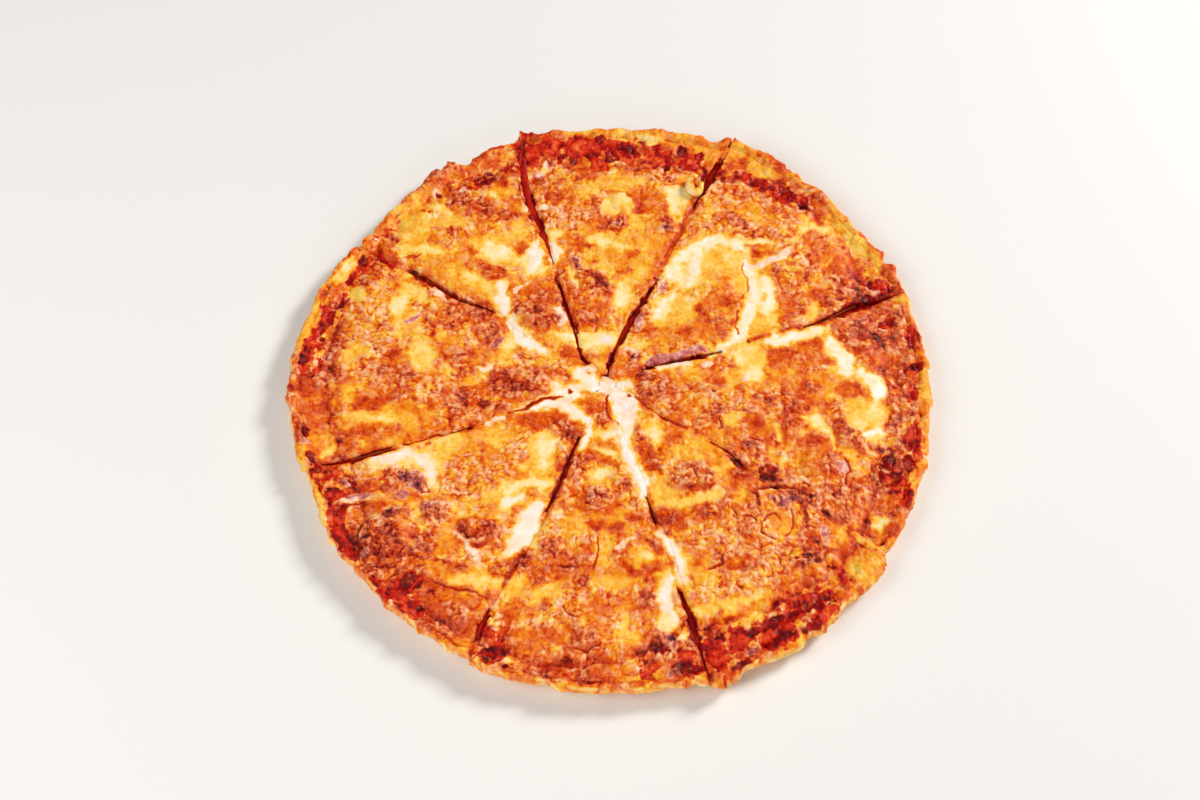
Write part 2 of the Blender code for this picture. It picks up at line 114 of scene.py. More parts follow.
draw = np.random.default_rng(pizza["seed"])
crags = [(waves, size, draw.uniform(0, 2 * math.pi))
         for waves, size in ((19, 0.35), (31, 0.4), (53, 0.35), (87, 0.25))]
longWaves = [(draw.uniform(-0.16, 0.16), draw.uniform(-0.16, 0.16), 0.16, draw.uniform(0, 6.28))
             for _ in range(6)]


def threeSizes(values, share):
    # a parabola through the sizes at shares 0, a half and 1
    first, middle, second = values
    return (first * (1 - share) * (1 - 2 * share) + 4 * middle * share * (1 - share)
            + second * share * (2 * share - 1))


def cutTrack(name):
    # radius, direction and half gap along a cut, its corners rounded by a 9 mm running mean
    points = np.array(cuts[name], float)
    radii = np.hypot(points[:, 0], points[:, 1])
    step, reach = 0.5, 9
    fine = np.arange(-6.0, 175.0, step)
    bell = np.hanning(2 * reach + 1)
    bell /= bell.sum()
    directions = np.unwrap(np.arctan2(points[:, 1], points[:, 0]))
    smoothed = [np.interp(fine, radii, values) for values in (directions, points[:, 2])]
    return [fine[reach:-reach]] + [np.convolve(values, bell, "valid") for values in smoothed]


tracks = {name: cutTrack(name) for name in cuts}


def cutSide(name, radius, side):
    # direction of one side of a cut: side +1 is anticlockwise of it, -1 clockwise, 0 its middle
    fine, directions, gaps = tracks[name]
    gap = pizza["cutHalfGap"] + np.interp(radius, fine, gaps)
    return np.interp(radius, fine, directions) + side * gap / np.maximum(radius, 1.0)


def across(piece, radius, share):
    # direction at a share of the way from the slice's first cut, clockwise, to its second
    first = cutSide(piece["cuts"][0], radius, -1)
    second = cutSide(piece["cuts"][1], radius, +1)
    second = np.where(second > first, second - 2 * math.pi, second)
    return first + (second - first) * share


def sliceWidth(piece, radius):
    # the radius times the angle between the slice's cuts
    return radius * np.abs(across(piece, radius, 1.0) - across(piece, radius, 0.0))


def tipRadius(piece):
    # the first radius at which the slice is as wide as a tip
    tries = np.arange(4.0, 40.0, 0.25)
    return float(tries[np.argmax(sliceWidth(piece, tries) >= pizza["tipWidth"])])


def smoothRim(piece, share):
    # the nominal radius plus the slice's own parabola
    return pizza["radius"] + threeSizes(piece["rim"], share)


def rimCrags(angle):
    # how far the rim's edge stands out: the listed bumps plus four sine waves round it
    out = sum(size * np.sin(waves * angle + phase) for waves, size, phase in crags)
    for direction, height, halfWidth in rimBumps:
        away = (np.degrees(angle) - direction + 180) % 360 - 180
        out = out + height * np.exp(-(away / halfWidth) ** 2)
    return out


# noise: whole arrays in, whole arrays out
def lattice(i, j, seed):
    # a fixed random number from 0 to 1 for each whole-numbered point
    mixed = (i * 374761393 + j * 668265263 + seed * 362437) & 0xFFFFFFFF
    mixed = ((mixed ^ (mixed >> 13)) * 1274126177) & 0xFFFFFFFF
    return ((mixed ^ (mixed >> 16)) & 0xFFFFFF) / 16777216.0


def waveNoise(x, y, size, seed):
    # between -1 and 1: a random slope at each lattice point, blended by a quintic ease
    u, v = x / size, y / size
    i, j = np.floor(u).astype(np.int64), np.floor(v).astype(np.int64)
    du, dv = u - i, v - j
    easeU = du ** 3 * (du * (6 * du - 15) + 10)
    easeV = dv ** 3 * (dv * (6 * dv - 15) + 10)
    total = 0
    for a, weightU in ((0, 1 - easeU), (1, easeU)):
        for b, weightV in ((0, 1 - easeV), (1, easeV)):
            angle = 2 * math.pi * lattice(i + a, j + b, seed)
            total = total + (np.cos(angle) * (du - a) + np.sin(angle) * (dv - b)) * weightU * weightV
    return 1.6 * total


def roughNoise(x, y, size, octaves, seed, fade=0.5):
    # octaves of wave noise, each half the size of the last and fade times its strength
    return sum(fade ** k * waveNoise(x, y, size / 2 ** k, seed + 17 * k) for k in range(octaves))


def cellNoise(x, y, size, seed):
    # distances to the nearest and the next of one random point a cell, in cells, and the
    # nearest one's number
    u, v = x / size, y / size
    i, j = np.floor(u).astype(np.int64), np.floor(v).astype(np.int64)
    nearest, second = np.full(u.shape, 9.0), np.full(u.shape, 9.0)
    number = np.zeros(u.shape)
    for a in (-1, 0, 1):
        for b in (-1, 0, 1):
            pointU = i + a + 0.1 + 0.8 * lattice(i + a, j + b, seed)
            pointV = j + b + 0.1 + 0.8 * lattice(i + a, j + b, seed + 1)
            away = np.hypot(u - pointU, v - pointV)
            number = np.where(away < nearest, lattice(i + a, j + b, seed + 2), number)
            second = np.minimum(second, np.maximum(nearest, away))
            nearest = np.minimum(nearest, away)
    return nearest, second, number


def noiseOn(points, size, seed, octaves=1, fade=0.5):
    # rough noise at the points' x and y
    return roughNoise(points[:, 0], points[:, 1], size, octaves, seed, fade)


def eased(value):
    # three times the square less twice the cube of the value, held from 0 to 1
    value = np.clip(value, 0, 1)
    return value * value * (3 - 2 * value)


# the painted plan: fields over x and y that every piece samples
planGrid = {"half": 158.0, "pitch": 0.35}
planAxis = np.arange(-planGrid["half"], planGrid["half"], planGrid["pitch"])
planX, planY = np.meshgrid(planAxis, planAxis)


def planNoise(size, octaves, seed, fade=0.5):
    # rough noise over the plan
    return roughNoise(planX, planY, size, octaves, seed, fade)


# the plan bent by up to about a millimetre, so that the marks' outlines wander
bend = 1.3
bentX = planX + bend * planNoise(9.0, 3, 101, 0.55)
bentY = planY + bend * planNoise(9.0, 3, 151, 0.55)


def bentNoise(size, octaves, seed, fade=0.5):
    # rough noise over the bent plan
    return roughNoise(bentX, bentY, size, octaves, seed, fade)


mottle = planNoise(7.0, 3, 211, 0.7)
ragged = planNoise(5.0, 3, 221, 0.7)

# for each finish, in this order: level, how far the cheese is baked, from 0 white melt to 1
# black; crumb, how rough it is; rise in mm; soft and rag, the width of a mark's edge in mm and how
# ragged it is; vary, how mottled the level is; keep, what still shows through; pink and sauce,
# which tint it and turn it to sauce
finishParts = ("level", "crumb", "rise", "soft", "rag", "vary", "keep", "pink", "sauce")
finishRows = {
    "peach": (0.53, 1, 0.1, 6, 2, 0.12, 0.25, 0, 0),
    "gold": (0.45, 0.3, 0, 5, 1.6, 0.06, 0.2, 0, 0),
    "yellow": (0.35, 0.22, -0.05, 3.4, 1.5, 0.07, 0.15, 0, 0),
    "butter": (0.26, 0.14, -0.1, 3, 1.2, 0.06, 0.1, 0, 0),
    "cream": (0.15, 0.1, -0.1, 2.6, 1, 0.06, 0.1, 0, 0),
    "amber": (0.6, 0.45, 0.05, 3.2, 1.8, 0.08, 0.2, 0, 0),
    "ember": (0.7, 0.35, -0.05, 2.2, 1.4, 0.08, 0.12, 0, 0),
    "scarlet": (0.48, 0.6, -0.15, 2, 1.8, 0.32, 0.05, 0, 1),
    "maroon": (0.78, 0.6, -0.55, 2, 1.3, 0.18, 0.05, 0, 1),
    "rust": (0.69, 1, 0.35, 2.6, 1.8, 0.14, 0.15, 0.2, 0),
    "umber": (0.8, 0.9, 0.1, 2, 1.4, 0.1, 0.1, 0, 0),
    "cocoa": (0.89, 1, 0.2, 2.6, 2.4, 0.16, 0.15, 1.05, 0),
    "ash": (0.72, 1, 0.25, 2, 1.6, 0.24, 0.1, 1.5, 0),
    "lilac": (0.16, 0.4, 0.15, 2, 1.2, 0.14, 0.15, 1.5, 0),
    "flesh": (0.5, 0.6, -0.2, 1.4, 0.6, 0.2, 0.05, 2, 0),
    "crease": (0.84, 0.2, -0.4, 0.9, 0.25, 0.05, 0, 0, 0),
    "char": (0.92, 0.6, -0.1, 1.4, 0.8, 0.06, 0.05, 0, 0),
    "milk": (0.07, 0.06, 0.15, 3, 1, 0.1, 0.05, 0.22, 0),
    "pearl": (0.06, 0.06, 0.15, 3, 1, 0.1, 0.05, 0.7, 0),
}
finishes = {name: dict(zip(finishParts, values)) for name, values in finishRows.items()}

# ovals of each finish, laid on in this order: x, y, length, width, turn in degrees
ovals = {
    "peach": [
        (-22, 100, 22, 44), (-15, 88, 20, 12), (30, 115, 16, 10), (-5, 112, 40, 14), (70, 100, 44, 22, -40),
        (95, 85, 34, 22, -45), (90, 60, 26, 22, -30), (17, 35, 8, 30, -30), (60, 88, 30, 12),
        (12, 14, 14, 16), (118, 75, 22, 14, -50), (60, -30, 30, 18, -30), (60, -8, 30, 16),
        (118, -50, 30, 30), (55, -78, 50, 24, -10), (60, -97, 56, 20, 15), (92, -85, 24, 26),
        (-12, -80, 34, 30), (-10, -112, 70, 26), (0, -132, 80, 14), (-60, -45, 36, 30, -10),
        (-65, -62, 24, 14), (-100, -50, 18, 14), (-108, 30, 44, 44), (-132, 5, 20, 24), (-35, 8, 30, 20),
        (-70, 34, 40, 16, -35), (-90, -2, 30, 16), (-60, 98, 20, 30, 20), (-20, 60, 14, 20)
    ],
    "gold": [
        (10, 80, 36, 26), (22, 68, 16, 30, -25), (0, 70, 26, 14), (-78, 62, 30, 16, -35),
        (-68, 72, 30, 12, -10), (-60, 80, 24, 10), (125, 80, 14, 26, 50), (-105, -18, 40, 16, -5),
        (-55, -28, 26, 14, 10)
    ],
    "yellow": [
        (5, 114, 32, 9), (-12, 108, 14, 8), (14, 90, 12, 10), (12, 60, 12, 16), (-8, 68, 12, 8),
        (-14, 84, 9, 6), (8, 141, 18, 6), (65, 62, 18, 26), (32, 36, 20, 24), (112, 86, 12, 8, -50),
        (50, 98, 10, 6), (60, 2, 26, 12, 15), (105, -3, 12, 10), (117, -14, 16, 20), (57, -18, 9, 8),
        (78, -33, 14, 5), (110, -38, 18, 5, -60), (147, -10, 5, 36), (42, -29, 26, 9, -25),
        (24, -50, 9, 16), (36, -36, 18, 8, -20), (45, -111, 14, 7, 20), (104, -77, 9, 10), (40, -95, 16, 6),
        (-13, -72, 14, 10), (0, -84, 6, 24), (2, -98, 26, 6), (-28, -104, 18, 8, 30), (-6, -52, 16, 6),
        (8, -68, 8, 9), (-8, -118, 10, 9), (10, -142, 9, 5), (-30, -38, 14, 30), (-72, -33, 18, 10, 20),
        (-60, -94, 38, 5, -10), (-45, -100, 16, 8, 20), (-50, -28, 14, 9, 10), (-120, 48, 8, 10),
        (-119, 17, 9, 13), (-88, 15, 14, 22, -20), (-103, -19, 28, 7, -5), (-98, -30, 13, 6),
        (-63, 2, 8, 7), (-120, -5, 6, 18), (-95, 33, 16, 16), (-95, 88, 18, 20), (-48, 80, 20, 8),
        (-42, 88, 14, 12), (-76, 90, 20, 8), (-50, 68, 20, 9), (-130, -58, 5, 26, 25)
    ],
    "butter": [
        (14, 100, 12, 10), (-3, 80, 14, 6, -10), (56, 68, 18, 12, 20), (108, 8, 10, 9), (22, -26, 9, 16),
        (-30, -32, 9, 20), (-80, -38, 16, 8, -20), (-48, -57, 24, 6, 15), (-92, 50, 18, 8, -30),
        (-92, 72, 22, 4, 5), (-100, 98, 18, 5, 20), (-78, 98, 14, 8), (-55, 72, 18, 12), (25, -94, 14, 5),
        (60, -108, 22, 8, 15), (-92, -40, 18, 5, -15)
    ],
    "cream": [
        (35, 94, 7, 14, 20), (8, 76, 10, 2.5, -30), (-26, 82, 10, 5, 30), (8, 48, 7, 14),
        (0, 24, 16, 7, -20), (-12, 26, 14, 6), (8, 104, 9, 9), (42, 62, 12, 24, -28), (28, 42, 6, 18, -25),
        (67, 22, 14, 5, 15), (92, -18, 10, 3, -40), (97, -20, 3, 10, 30), (22, -26, 4, 10),
        (0, -35, 10, 2.5, -10), (-30, -31, 5, 14), (-80, -40, 10, 5, -30), (-36, -53, 24, 7, 5),
        (-44, -61, 8, 7), (-58, -74, 24, 3, -45), (-52, -98, 18, 2.5, -8), (-122, 50, 7, 6),
        (-100, 43, 8, 14, -20), (-48, 22, 8, 9), (-105, -18, 12, 3, -10), (-52, 73, 14, 9),
        (-36, 66, 10, 16, 35), (-60, 76, 8, 5), (-20, 26, 12, 4, 5), (-56, 106, 5, 4), (-98, 70, 6, 3)
    ],
    "amber": [
        (-14, 80, 11, 10), (-10, 118, 14, 6, 20), (20, 104, 12, 14), (12, 72, 8, 6), (8, 62, 7, 6),
        (-6, 68, 6, 4), (18, 53, 8, 7), (-8, 38, 22, 18), (-20, 66, 9, 8), (-16, 50, 10, 16),
        (-2, 90, 16, 10), (27, 103, 6, 12, 30), (28, 74, 4, 30, -22), (55, 50, 14, 16), (37, 29, 14, 8),
        (84, 50, 6, 26), (50, 28, 20, 8, 18), (107, 67, 20, 12, -35), (62, 104, 18, 14), (27, 26, 12, 8),
        (20, 22, 8, 9), (75, 25, 12, 2.5, 15), (82, 14, 14, 16), (96, 16, 16, 14), (88, -1, 26, 10),
        (114, -3, 16, 10), (50, 2, 8, 9), (82, -22, 14, 18, -30), (94, -29, 16, 9), (97, -42, 22, 18),
        (118, -66, 18, 12), (118, -76, 20, 9, -15), (54, -26, 22, 8, -15), (35, -14, 15, 10),
        (48, 9, 10, 6), (30, -28, 12, 8), (46, -66, 16, 12), (84, -95, 18, 7, 20), (62, -49, 14, 8, -40),
        (60, -90, 16, 6), (0, -30, 13, 8), (8, -91, 14, 10), (-8, -88, 12, 14), (-20, -92, 18, 12),
        (16, -79, 12, 5), (-40, -112, 16, 10), (2, -109, 30, 12), (20, -110, 20, 12),
        (-30, -126, 26, 10, 20), (-55, -36, 12, 8), (-34, -57, 9, 7), (-32, -18, 24, 12, 15),
        (-49, -75, 8, 14), (-85, -91, 22, 5, -15), (-65, -105, 22, 10, -30), (-60, -120, 12, 12),
        (-100, 9, 22, 14), (-112, -8, 26, 9), (-65, 15, 14, 9), (-110, -25, 34, 8, 5),
        (-78, -22, 18, 5, 18), (-55, 18, 12, 8), (-132, -8, 12, 18), (-88, -26, 22, 5, 15), (-66, 75, 6, 5),
        (-41, 76, 6, 7), (-55, 64, 18, 6, -25), (-35, 38, 26, 20, -10), (-60, 90, 9, 14), (-38, 92, 9, 10),
        (-30, 52, 16, 16), (-110, 76, 12, 7, -20), (22, 148, 12, 6)
    ],
    "ember": [
        (-14, 78, 6, 7), (-10, 35, 12, 7), (-11, 46, 5, 4), (17, 102, 4, 9, 10), (29, 92, 8, 4),
        (-13, 118, 8, 3, 20), (-20, 64, 5, 4), (36, 29, 8, 5), (10, 10, 9, 4), (18, 29, 10, 7),
        (83, 16, 9, 8), (97, 21, 11, 4), (93, 0, 7, 9), (84, -20, 8, 15, -25), (107, -21, 7, 6),
        (52, 1, 6, 5), (49, 10, 6, 4), (62, -4, 5, 6), (115, 20, 14, 10), (15, -26, 10, 10),
        (19, -37, 10, 9), (22, -43, 6, 5), (30, -28, 5, 5), (30, -68, 12, 11), (60, -90, 9, 4),
        (-5, -71, 7, 5), (3, -73, 6, 5), (13, -68, 7, 5), (-3, -15, 7, 11), (14, -93, 13, 4),
        (7, -84, 3, 8, 20), (-34, -19, 14, 9), (-22, -18, 9, 7), (-40, -63, 4, 4), (-48, -80, 4, 7),
        (-72, -101, 16, 3, -15), (-112, -54, 16, 6, 10), (-100, 16, 6, 5), (-64, 16, 7, 5),
        (-134, -12, 8, 7), (-112, -25, 18, 4, 8), (-104, -9, 6, 6), (-42, 76, 4, 4), (-65, 74, 4, 3),
        (-109, 72, 9, 4, -30), (-38, 52, 8, 6), (-82, 110, 6, 3), (-60, 95, 8, 10)
    ],
    "rust": [
        (4, 91, 11, 8, 15), (-5, 56, 17, 8, -42), (-9, 36, 10, 7), (-16, 52, 5, 12), (-33, 113, 5, 6),
        (92, 43, 8, 10), (84, 32, 7, 6), (62, 92, 6, 5), (95, 58, 5, 5), (12, 14, 5, 7), (73, -8, 8, 7),
        (87, -10, 13, 8, -20), (84, -21, 5, 9), (72, -29, 8, 5, -30), (118, 26, 20, 12),
        (22, 1, 14, 9, -30), (24, -6, 18, 8, -30), (60, -38, 7, 4, -40), (139, -5, 6, 16), (50, -15, 7, 9),
        (67, -32, 9, 9), (132, 20, 12, 14), (141, 10, 7, 12), (112, 36, 18, 4, 15), (103, -42, 10, 12),
        (60, -91, 8, 4), (64, -73, 5, 9), (63, -48, 10, 4, -30), (89, -79, 9, 14), (-5, -59, 14, 12),
        (7, -51, 5, 6), (-24, -83, 9, 9), (-38, -89, 7, 8), (-12, -97, 5, 9), (-18, -92, 17, 3),
        (-2, -16, 5, 8), (-12, -88, 9, 5), (23, -78, 5, 7), (-30, -98, 4, 4), (18, -106, 9, 7),
        (-8, -124, 13, 7), (-17, -24, 8, 14, 25), (-58, -75, 17, 12, -10), (-66, -91, 8, 5),
        (-98, -50, 8, 10), (-113, -62, 16, 4, -5), (-86, -94, 10, 8), (-46, -93, 7, 5), (-95, 5, 13, 10),
        (-56, 28, 15, 11, -30), (-60, 39, 9, 12), (-74, 37, 11, 10), (-95, -6, 8, 5), (-40, 3, 26, 10),
        (-70, 11, 5, 13, 40), (-68, -9, 13, 13), (-58, -14, 22, 6, 12), (-46, -2, 16, 10),
        (-125, 5, 11, 5, -30), (-42, 40, 7, 7), (-60, 97, 6, 10), (-50, 97, 6, 4), (-33, 46, 9, 5, 30),
        (-72, -120, 10, 5, -45), (30, -128, 30, 12)
    ],
    "umber": [
        (20, 3, 9, 4, -50), (127, -65, 8, 5), (134, -62, 5, 5), (74, -47, 12, 8, -40), (90, -57, 8, 9),
        (98, -65, 6, 2.5, -45), (66, -57, 4, 6), (50, -86, 3, 6), (-37, -88, 3, 4), (-94, -66, 8, 4),
        (-14, -23, 4, 11, 25), (-19, -25, 4, 10, -30), (-63, -73, 5, 7), (-57, -10, 7, 6), (-62, 42, 5, 4),
        (-50, 3, 9, 4), (-30, -8, 13, 2.5, 15), (-42, 40, 5, 3, 40), (-60, 116, 6, 4), (-50, 97, 2, 3),
        (-89, 120, 16, 1.8, 48), (98, 99, 5, 3, -30)
    ],
}

# the same near the rim: degrees clockwise from the top, distance from the middle, length
# along the rim and width across it
rimOvals = {
    "gold": [
        (15, 144, 26, 9), (22, 140, 10, 20), (26, 149, 12, 12), (33, 147, 18, 12), (73, 150, 12, 5),
        (88, 149.5, 14, 4), (108, 150, 26, 3), (150, 152, 16, 4), (190, 146.5, 60, 2.5), (209, 145, 10, 4),
        (257, 144.5, 22, 4), (284, 146, 36, 6), (296, 142, 18, 7), (312, 141, 30, 8), (355, 146, 24, 6)
    ],
    "yellow": [
        (3, 146, 14, 4), (31, 144, 14, 6), (130, 150, 12, 4), (148, 152.5, 10, 3), (213, 145, 8, 2.5),
        (245, 143, 20, 4.5), (258, 143, 12, 3), (281, 146, 20, 4), (356, 146.5, 18, 3), (93, 150, 16, 2.5)
    ],
    "butter": [(8, 143, 11, 6), (296, 141, 18, 4), (59, 147, 3, 3)],
    "cream": [(297, 140.5, 9, 2.5)],
    "amber": [
        (10, 149.5, 10, 3.5), (86, 131, 10, 12), (97, 146, 20, 5), (119, 146, 10, 8), (117, 136, 8, 16),
        (185, 138, 40, 14), (196, 147.5, 18, 3), (212, 139, 26, 10), (239, 128, 6, 26), (256, 132, 20, 18),
        (265, 138, 18, 14), (303, 139, 8, 10), (333, 140, 20, 14), (22, 137, 8, 12), (150, 128, 20, 8)
    ],
    "ember": [
        (35, 152, 7, 3.5), (37, 152.5, 4, 3), (57, 150, 22, 1.8), (63, 136, 14, 7), (64, 146, 10, 8),
        (27, 140, 6, 4), (128, 136, 16, 8), (185, 141, 26, 6), (214, 136, 10, 8), (217, 131, 10, 8),
        (262, 131, 8, 8), (270, 140, 12, 10), (300, 142, 5, 4), (291, 139, 4, 3.5), (335, 148, 14, 3.5),
        (8, 132, 18, 12), (160, 150, 9, 6), (160.5, 153, 6, 4), (303, 128, 4, 12)
    ],
    "scarlet": [
        (2, 138, 12, 8), (4, 133, 16, 9), (78, 146, 8, 6), (100, 141, 18, 8), (104, 145, 10, 6),
        (218, 138, 12, 8), (244, 131, 8, 6), (276, 142, 10, 6), (283, 138, 18, 5), (290, 135, 10, 4),
        (298, 135, 14, 5), (345, 145, 20, 14), (344, 135, 10, 12), (353, 138, 16, 10), (358, 126, 10, 12),
        (172, 137, 12, 8), (166, 146, 10, 4), (273, 141, 8, 8)
    ],
    "maroon": [
        (38, 143.5, 3.5, 3), (43.5, 140, 4, 5), (89, 143, 8, 3), (91, 143, 4, 4), (159, 133, 5, 5),
        (165, 143, 8, 5), (236, 144, 16, 3), (260, 143, 12, 2), (268, 147, 14, 3), (273, 148, 12, 2.5),
        (284, 136, 10, 2.5), (288, 135, 7, 2), (295, 136, 5, 3), (359, 124, 6, 6), (350, 132, 6, 3),
        (342, 140, 3, 10)
    ],
    "rust": [
        (75, 140, 12, 16), (79, 135, 14, 12), (82, 144, 12, 8), (96, 136, 20, 8), (116, 126, 10, 8),
        (106, 134, 14, 10), (112, 133, 12, 12), (184, 134, 14, 8), (210, 130, 12, 6), (215, 143, 10, 4),
        (255, 127, 10, 6), (272, 135, 10, 6), (280, 130, 14, 6), (325, 125, 12, 14), (33, 150, 5, 3),
        (45, 149, 4, 4), (68, 148, 8, 5), (130, 126, 10, 6), (309, 144, 6, 2)
    ],
    "umber": [
        (64, 126, 7, 6), (76, 127, 4, 10), (104, 133, 5, 4), (262, 144, 8, 1.8), (272, 136, 4, 4),
        (275, 134, 4, 3), (325, 149, 16, 1.5), (184, 144, 5, 3), (191, 143.5, 6, 2), (153, 146, 7, 3),
        (118, 143, 3, 3)
    ],
}

# bands of each finish: x, y and width along them
bands = {
    "peach": [[(62, 96, 9), (84, 78, 10), (100, 62, 8)]],
    "umber": [
        [(-113, -72, 1.5), (-112, -82, 1.5), (-106, -93, 2)], [(68, 24, 1.2), (80, 28, 1), (91, 31, 1)]
    ],
    "cream": [
        [(-4, -25, 2), (5, -25, 3)], [(-116, -60, 2), (-108, -58, 2.4)], [(-12, 21, 4), (-5, 22, 4)],
        [(72, 63, 2.4), (78, 68, 3), (85, 70, 1.6)], [(34, -107, 1.4), (38, -114, 2)]
    ],
}


# finer touches over them, in this order: a finish, then its ovals and bands as above
touches = []


def touch(kind, marks, byDirection=False):
    # one finish's marks, kept until the finishes above are laid
    touches.append((kind, marks, byDirection))


def rimTouch(kind, marks):
    # the same near the rim: degrees clockwise from the top and distance for x and y
    touch(kind, marks, byDirection=True)


touch("gold", [
    (72, 95, 22, 12, -35), (-68, 56, 34, 12, -32), (-95, 82, 12, 22), (102, 2, 18, 12), (77, -72, 12, 11),
    (-70, -76, 8, 13), (110, 68, 14, 10), (112, 95, 12, 14, -45), (33, 86, 6, 18, -20), (-55, 14, 10, 6)
])
touch("amber", [
    (-33, 22, 12, 8, -35), (15, -14, 10, 5, -30), (8, 7, 9, 4), (6, 14, 6, 8), (29, -24, 8, 5),
    (54, -51, 8, 5), (77, -56, 6, 4), (-58, -70.5, 5, 5), (-14, -20, 6, 5), (-62, -10, 5, 5),
    (-35, -58, 8, 5), (-7, -117, 5, 6), (-5, -135, 12, 6), (66, 101, 8, 7), (80, 52, 5, 22, 10),
    (85, 42, 7, 10), (108, -66, 20, 5, -20), (-40, -63, 3, 5), (-10, -10, 8, 8), (92, 12, 8, 5),
    (85, -99, 16, 4, 10), (-20, 106, 10, 12), (28, 101, 4, 14, 15), (12, 33, 3, 12, -15),
    (54, 45, 12, 20, 10), (46, 42, 10, 12)
])
touch("ember", [
    (-17, 17.5, 11, 6, 10), (-54, 63, 14, 5, -25), (-41, 76, 4, 5), (-64, 73, 4, 3), (-64, 15, 6, 5),
    (-111, -10, 18, 6), (112, -3, 13, 9), (95, -1, 8, 6), (78, 15, 8, 7), (97, 22, 10, 4), (105, 12, 4, 5),
    (128, 10, 9, 8), (95, -29, 9, 6), (72, -28, 6, 4), (57, 44, 5, 5), (42, 40, 5, 5), (35, 29, 5, 4),
    (50, 34, 3, 4), (-13, 78, 6, 6), (-5, 68, 4, 4), (12, 71, 6, 4), (8, 62, 6, 3.5), (17, 99, 4, 8, 10),
    (-12, 118, 7, 3, 20), (88, 95, 4, 4), (93, 84, 3, 4), (104, 93, 4, 10, 15), (105, 104, 9, 4, -25),
    (75, 72, 10, 4), (92, 72, 3, 5), (90, 66, 6, 3), (90, 43, 5, 4), (102, 46, 8, 10), (18, -35, 9, 7),
    (20, -43, 5, 4), (28, -68, 12, 10), (40, -53, 14, 4), (45, -65, 11, 9), (56, -91, 7, 6),
    (63, -49, 8, 4), (37, -97, 3, 3), (-5, -71, 5, 5), (3, -73, 4, 5), (5, -78, 3, 5), (14, -68, 6, 4),
    (-15, -54, 10, 5), (23, -83, 6, 5), (-22, -42, 4, 7), (-12, -60, 6, 6), (-86, -76, 6, 8),
    (102, -95, 5, 16, 20), (91, -79, 8, 10), (-27, 105, 10, 8), [(62, 84, 2), (70, 83, 3), (76, 86, 2)],
    [(108, 64, 4), (116, 62, 5), (122, 59, 4)], [(-8, -34, 3), (-3, -38, 4), (4, -41, 3), (6, -44, 2)],
    [(6, -88, 2), (10, -94, 3), (16, -95, 3), (22, -92, 2)], [(-70, -2, 2), (-60, -2, 3), (-55, 0, 2)],
    [(4, 108, 1.2), (10, 108, 1.5), (14, 104, 2), (16, 98, 3)], [(68, 24, 1.6), (76, 26, 2), (88, 30, 1.6)],
    [(44, 103, 2.6), (38, 90, 3), (33, 78, 3), (28, 66, 2)]
])
touch("peach", [(60, 108, 18, 12, -20), (-110, 40, 16, 18), (60, -101, 20, 8, 10)])
touch("rust", [
    (98, -55, 12, 12), (20, -1, 10, 7, -30), (26, -11, 10, 6, -40), (15, -26, 9, 8), (16, 35, 6, 15, -15),
    (22, -40, 5, 4), (38, -47, 21, 12, 8), (-13, -43, 9, 15, -10), (-20, -52, 6, 7), (6, -52, 4, 6),
    (-26, -82, 10, 9), (-76, -65, 12, 13), (-48, -76, 6, 9), (112, -27, 9, 15, -45), (104, -57, 11, 13),
    (118, -57, 12, 6), (112, 49, 18, 9, 20), (67, 87, 9, 6, -30), (61, 91, 6, 5), (29, 88, 6, 10),
    (46, -65, 7, 6), (-30, 36, 16, 10), (-55, 26, 12, 8, -20), (-69, 14, 5, 10, 30), (-95, -45, 9, 6, -30),
    (17, -107, 8, 7), (45, -17, 5, 8), (52, -12, 9, 6), (-106, 5, 13, 10), (-38, -2, 20, 8)
])
touch("umber", [
    (-101, -79, 21, 21), (-82, -80, 9, 8), (5, 91, 8, 6, 20), (-5, 57, 14, 6, -40), (-67, -7, 7, 9),
    (-62, -6, 5, 2), (-75, 31, 6, 6), (-57, 38, 5, 9, -40), (-94, -5, 5, 4), (17, 3, 8, 4, -20),
    (-5, -59, 9, 8), (86, -11, 11, 7, -20), (73, -8, 5, 6), (84, -20, 4, 8), (108, -23, 6, 7),
    (118, 26, 18, 7, 10), (91, -79, 4, 5), (73, -47, 8, 7), (88, -56, 7, 6), (88, -86, 9, 4, -10),
    (93, -82, 4, 6), (66.5, -58, 3, 5), (28, -68, 5, 5), (-11, -97, 4, 7), (-29, -97, 3.5, 3),
    (-24, -85, 5, 3), (95, 58.5, 4, 4), (20, -79, 5, 4), (20, -127, 6, 5), (104, -57, 4, 6),
    (117, 47, 9, 5, 15), [(-88, -84, 3), (-80, -87, 2.5), (-70, -89, 1.6), (-64, -92, 3)],
    [(-66, -72, 3), (-62, -77, 4), (-55, -75, 5), (-50, -72, 3)],
    [(-55, 4, 3), (-52, -1, 4), (-44, 0, 5), (-34, -3, 5)], [(-19, -20, 2), (-17, -25, 3), (-14, -29, 3)],
    [(-10, -20, 1.5), (-10.5, -25, 2.5), (-13, -29, 3)], [(85, -59, 2), (88, -65, 2), (91, -70, 1)],
    [(-24, -91, 1.5), (-15, -91, 1.8), (-9, -92, 2)], [(-33, 40, 5), (-28, 36, 4), (-34, 32, 4)],
    [(-38, -11.5, 1.5), (-30, -8.5, 2.2), (-24, -7, 1.2)]
])
touch("scarlet", [
    (-95, -102, 15, 10, -40), (-80, -104, 9, 5), (-123, -45, 5, 6), (75, 112, 9, 4, -30), (128, 60, 7, 8),
    (44, -128, 7, 8), [(-123, -64, 5), (-119, -75, 7), (-112, -87, 5)], [(102, -90, 2), (103, -98, 3)],
    [(80, -108, 4), (88, -107, 5), (98, -104, 4)]
])
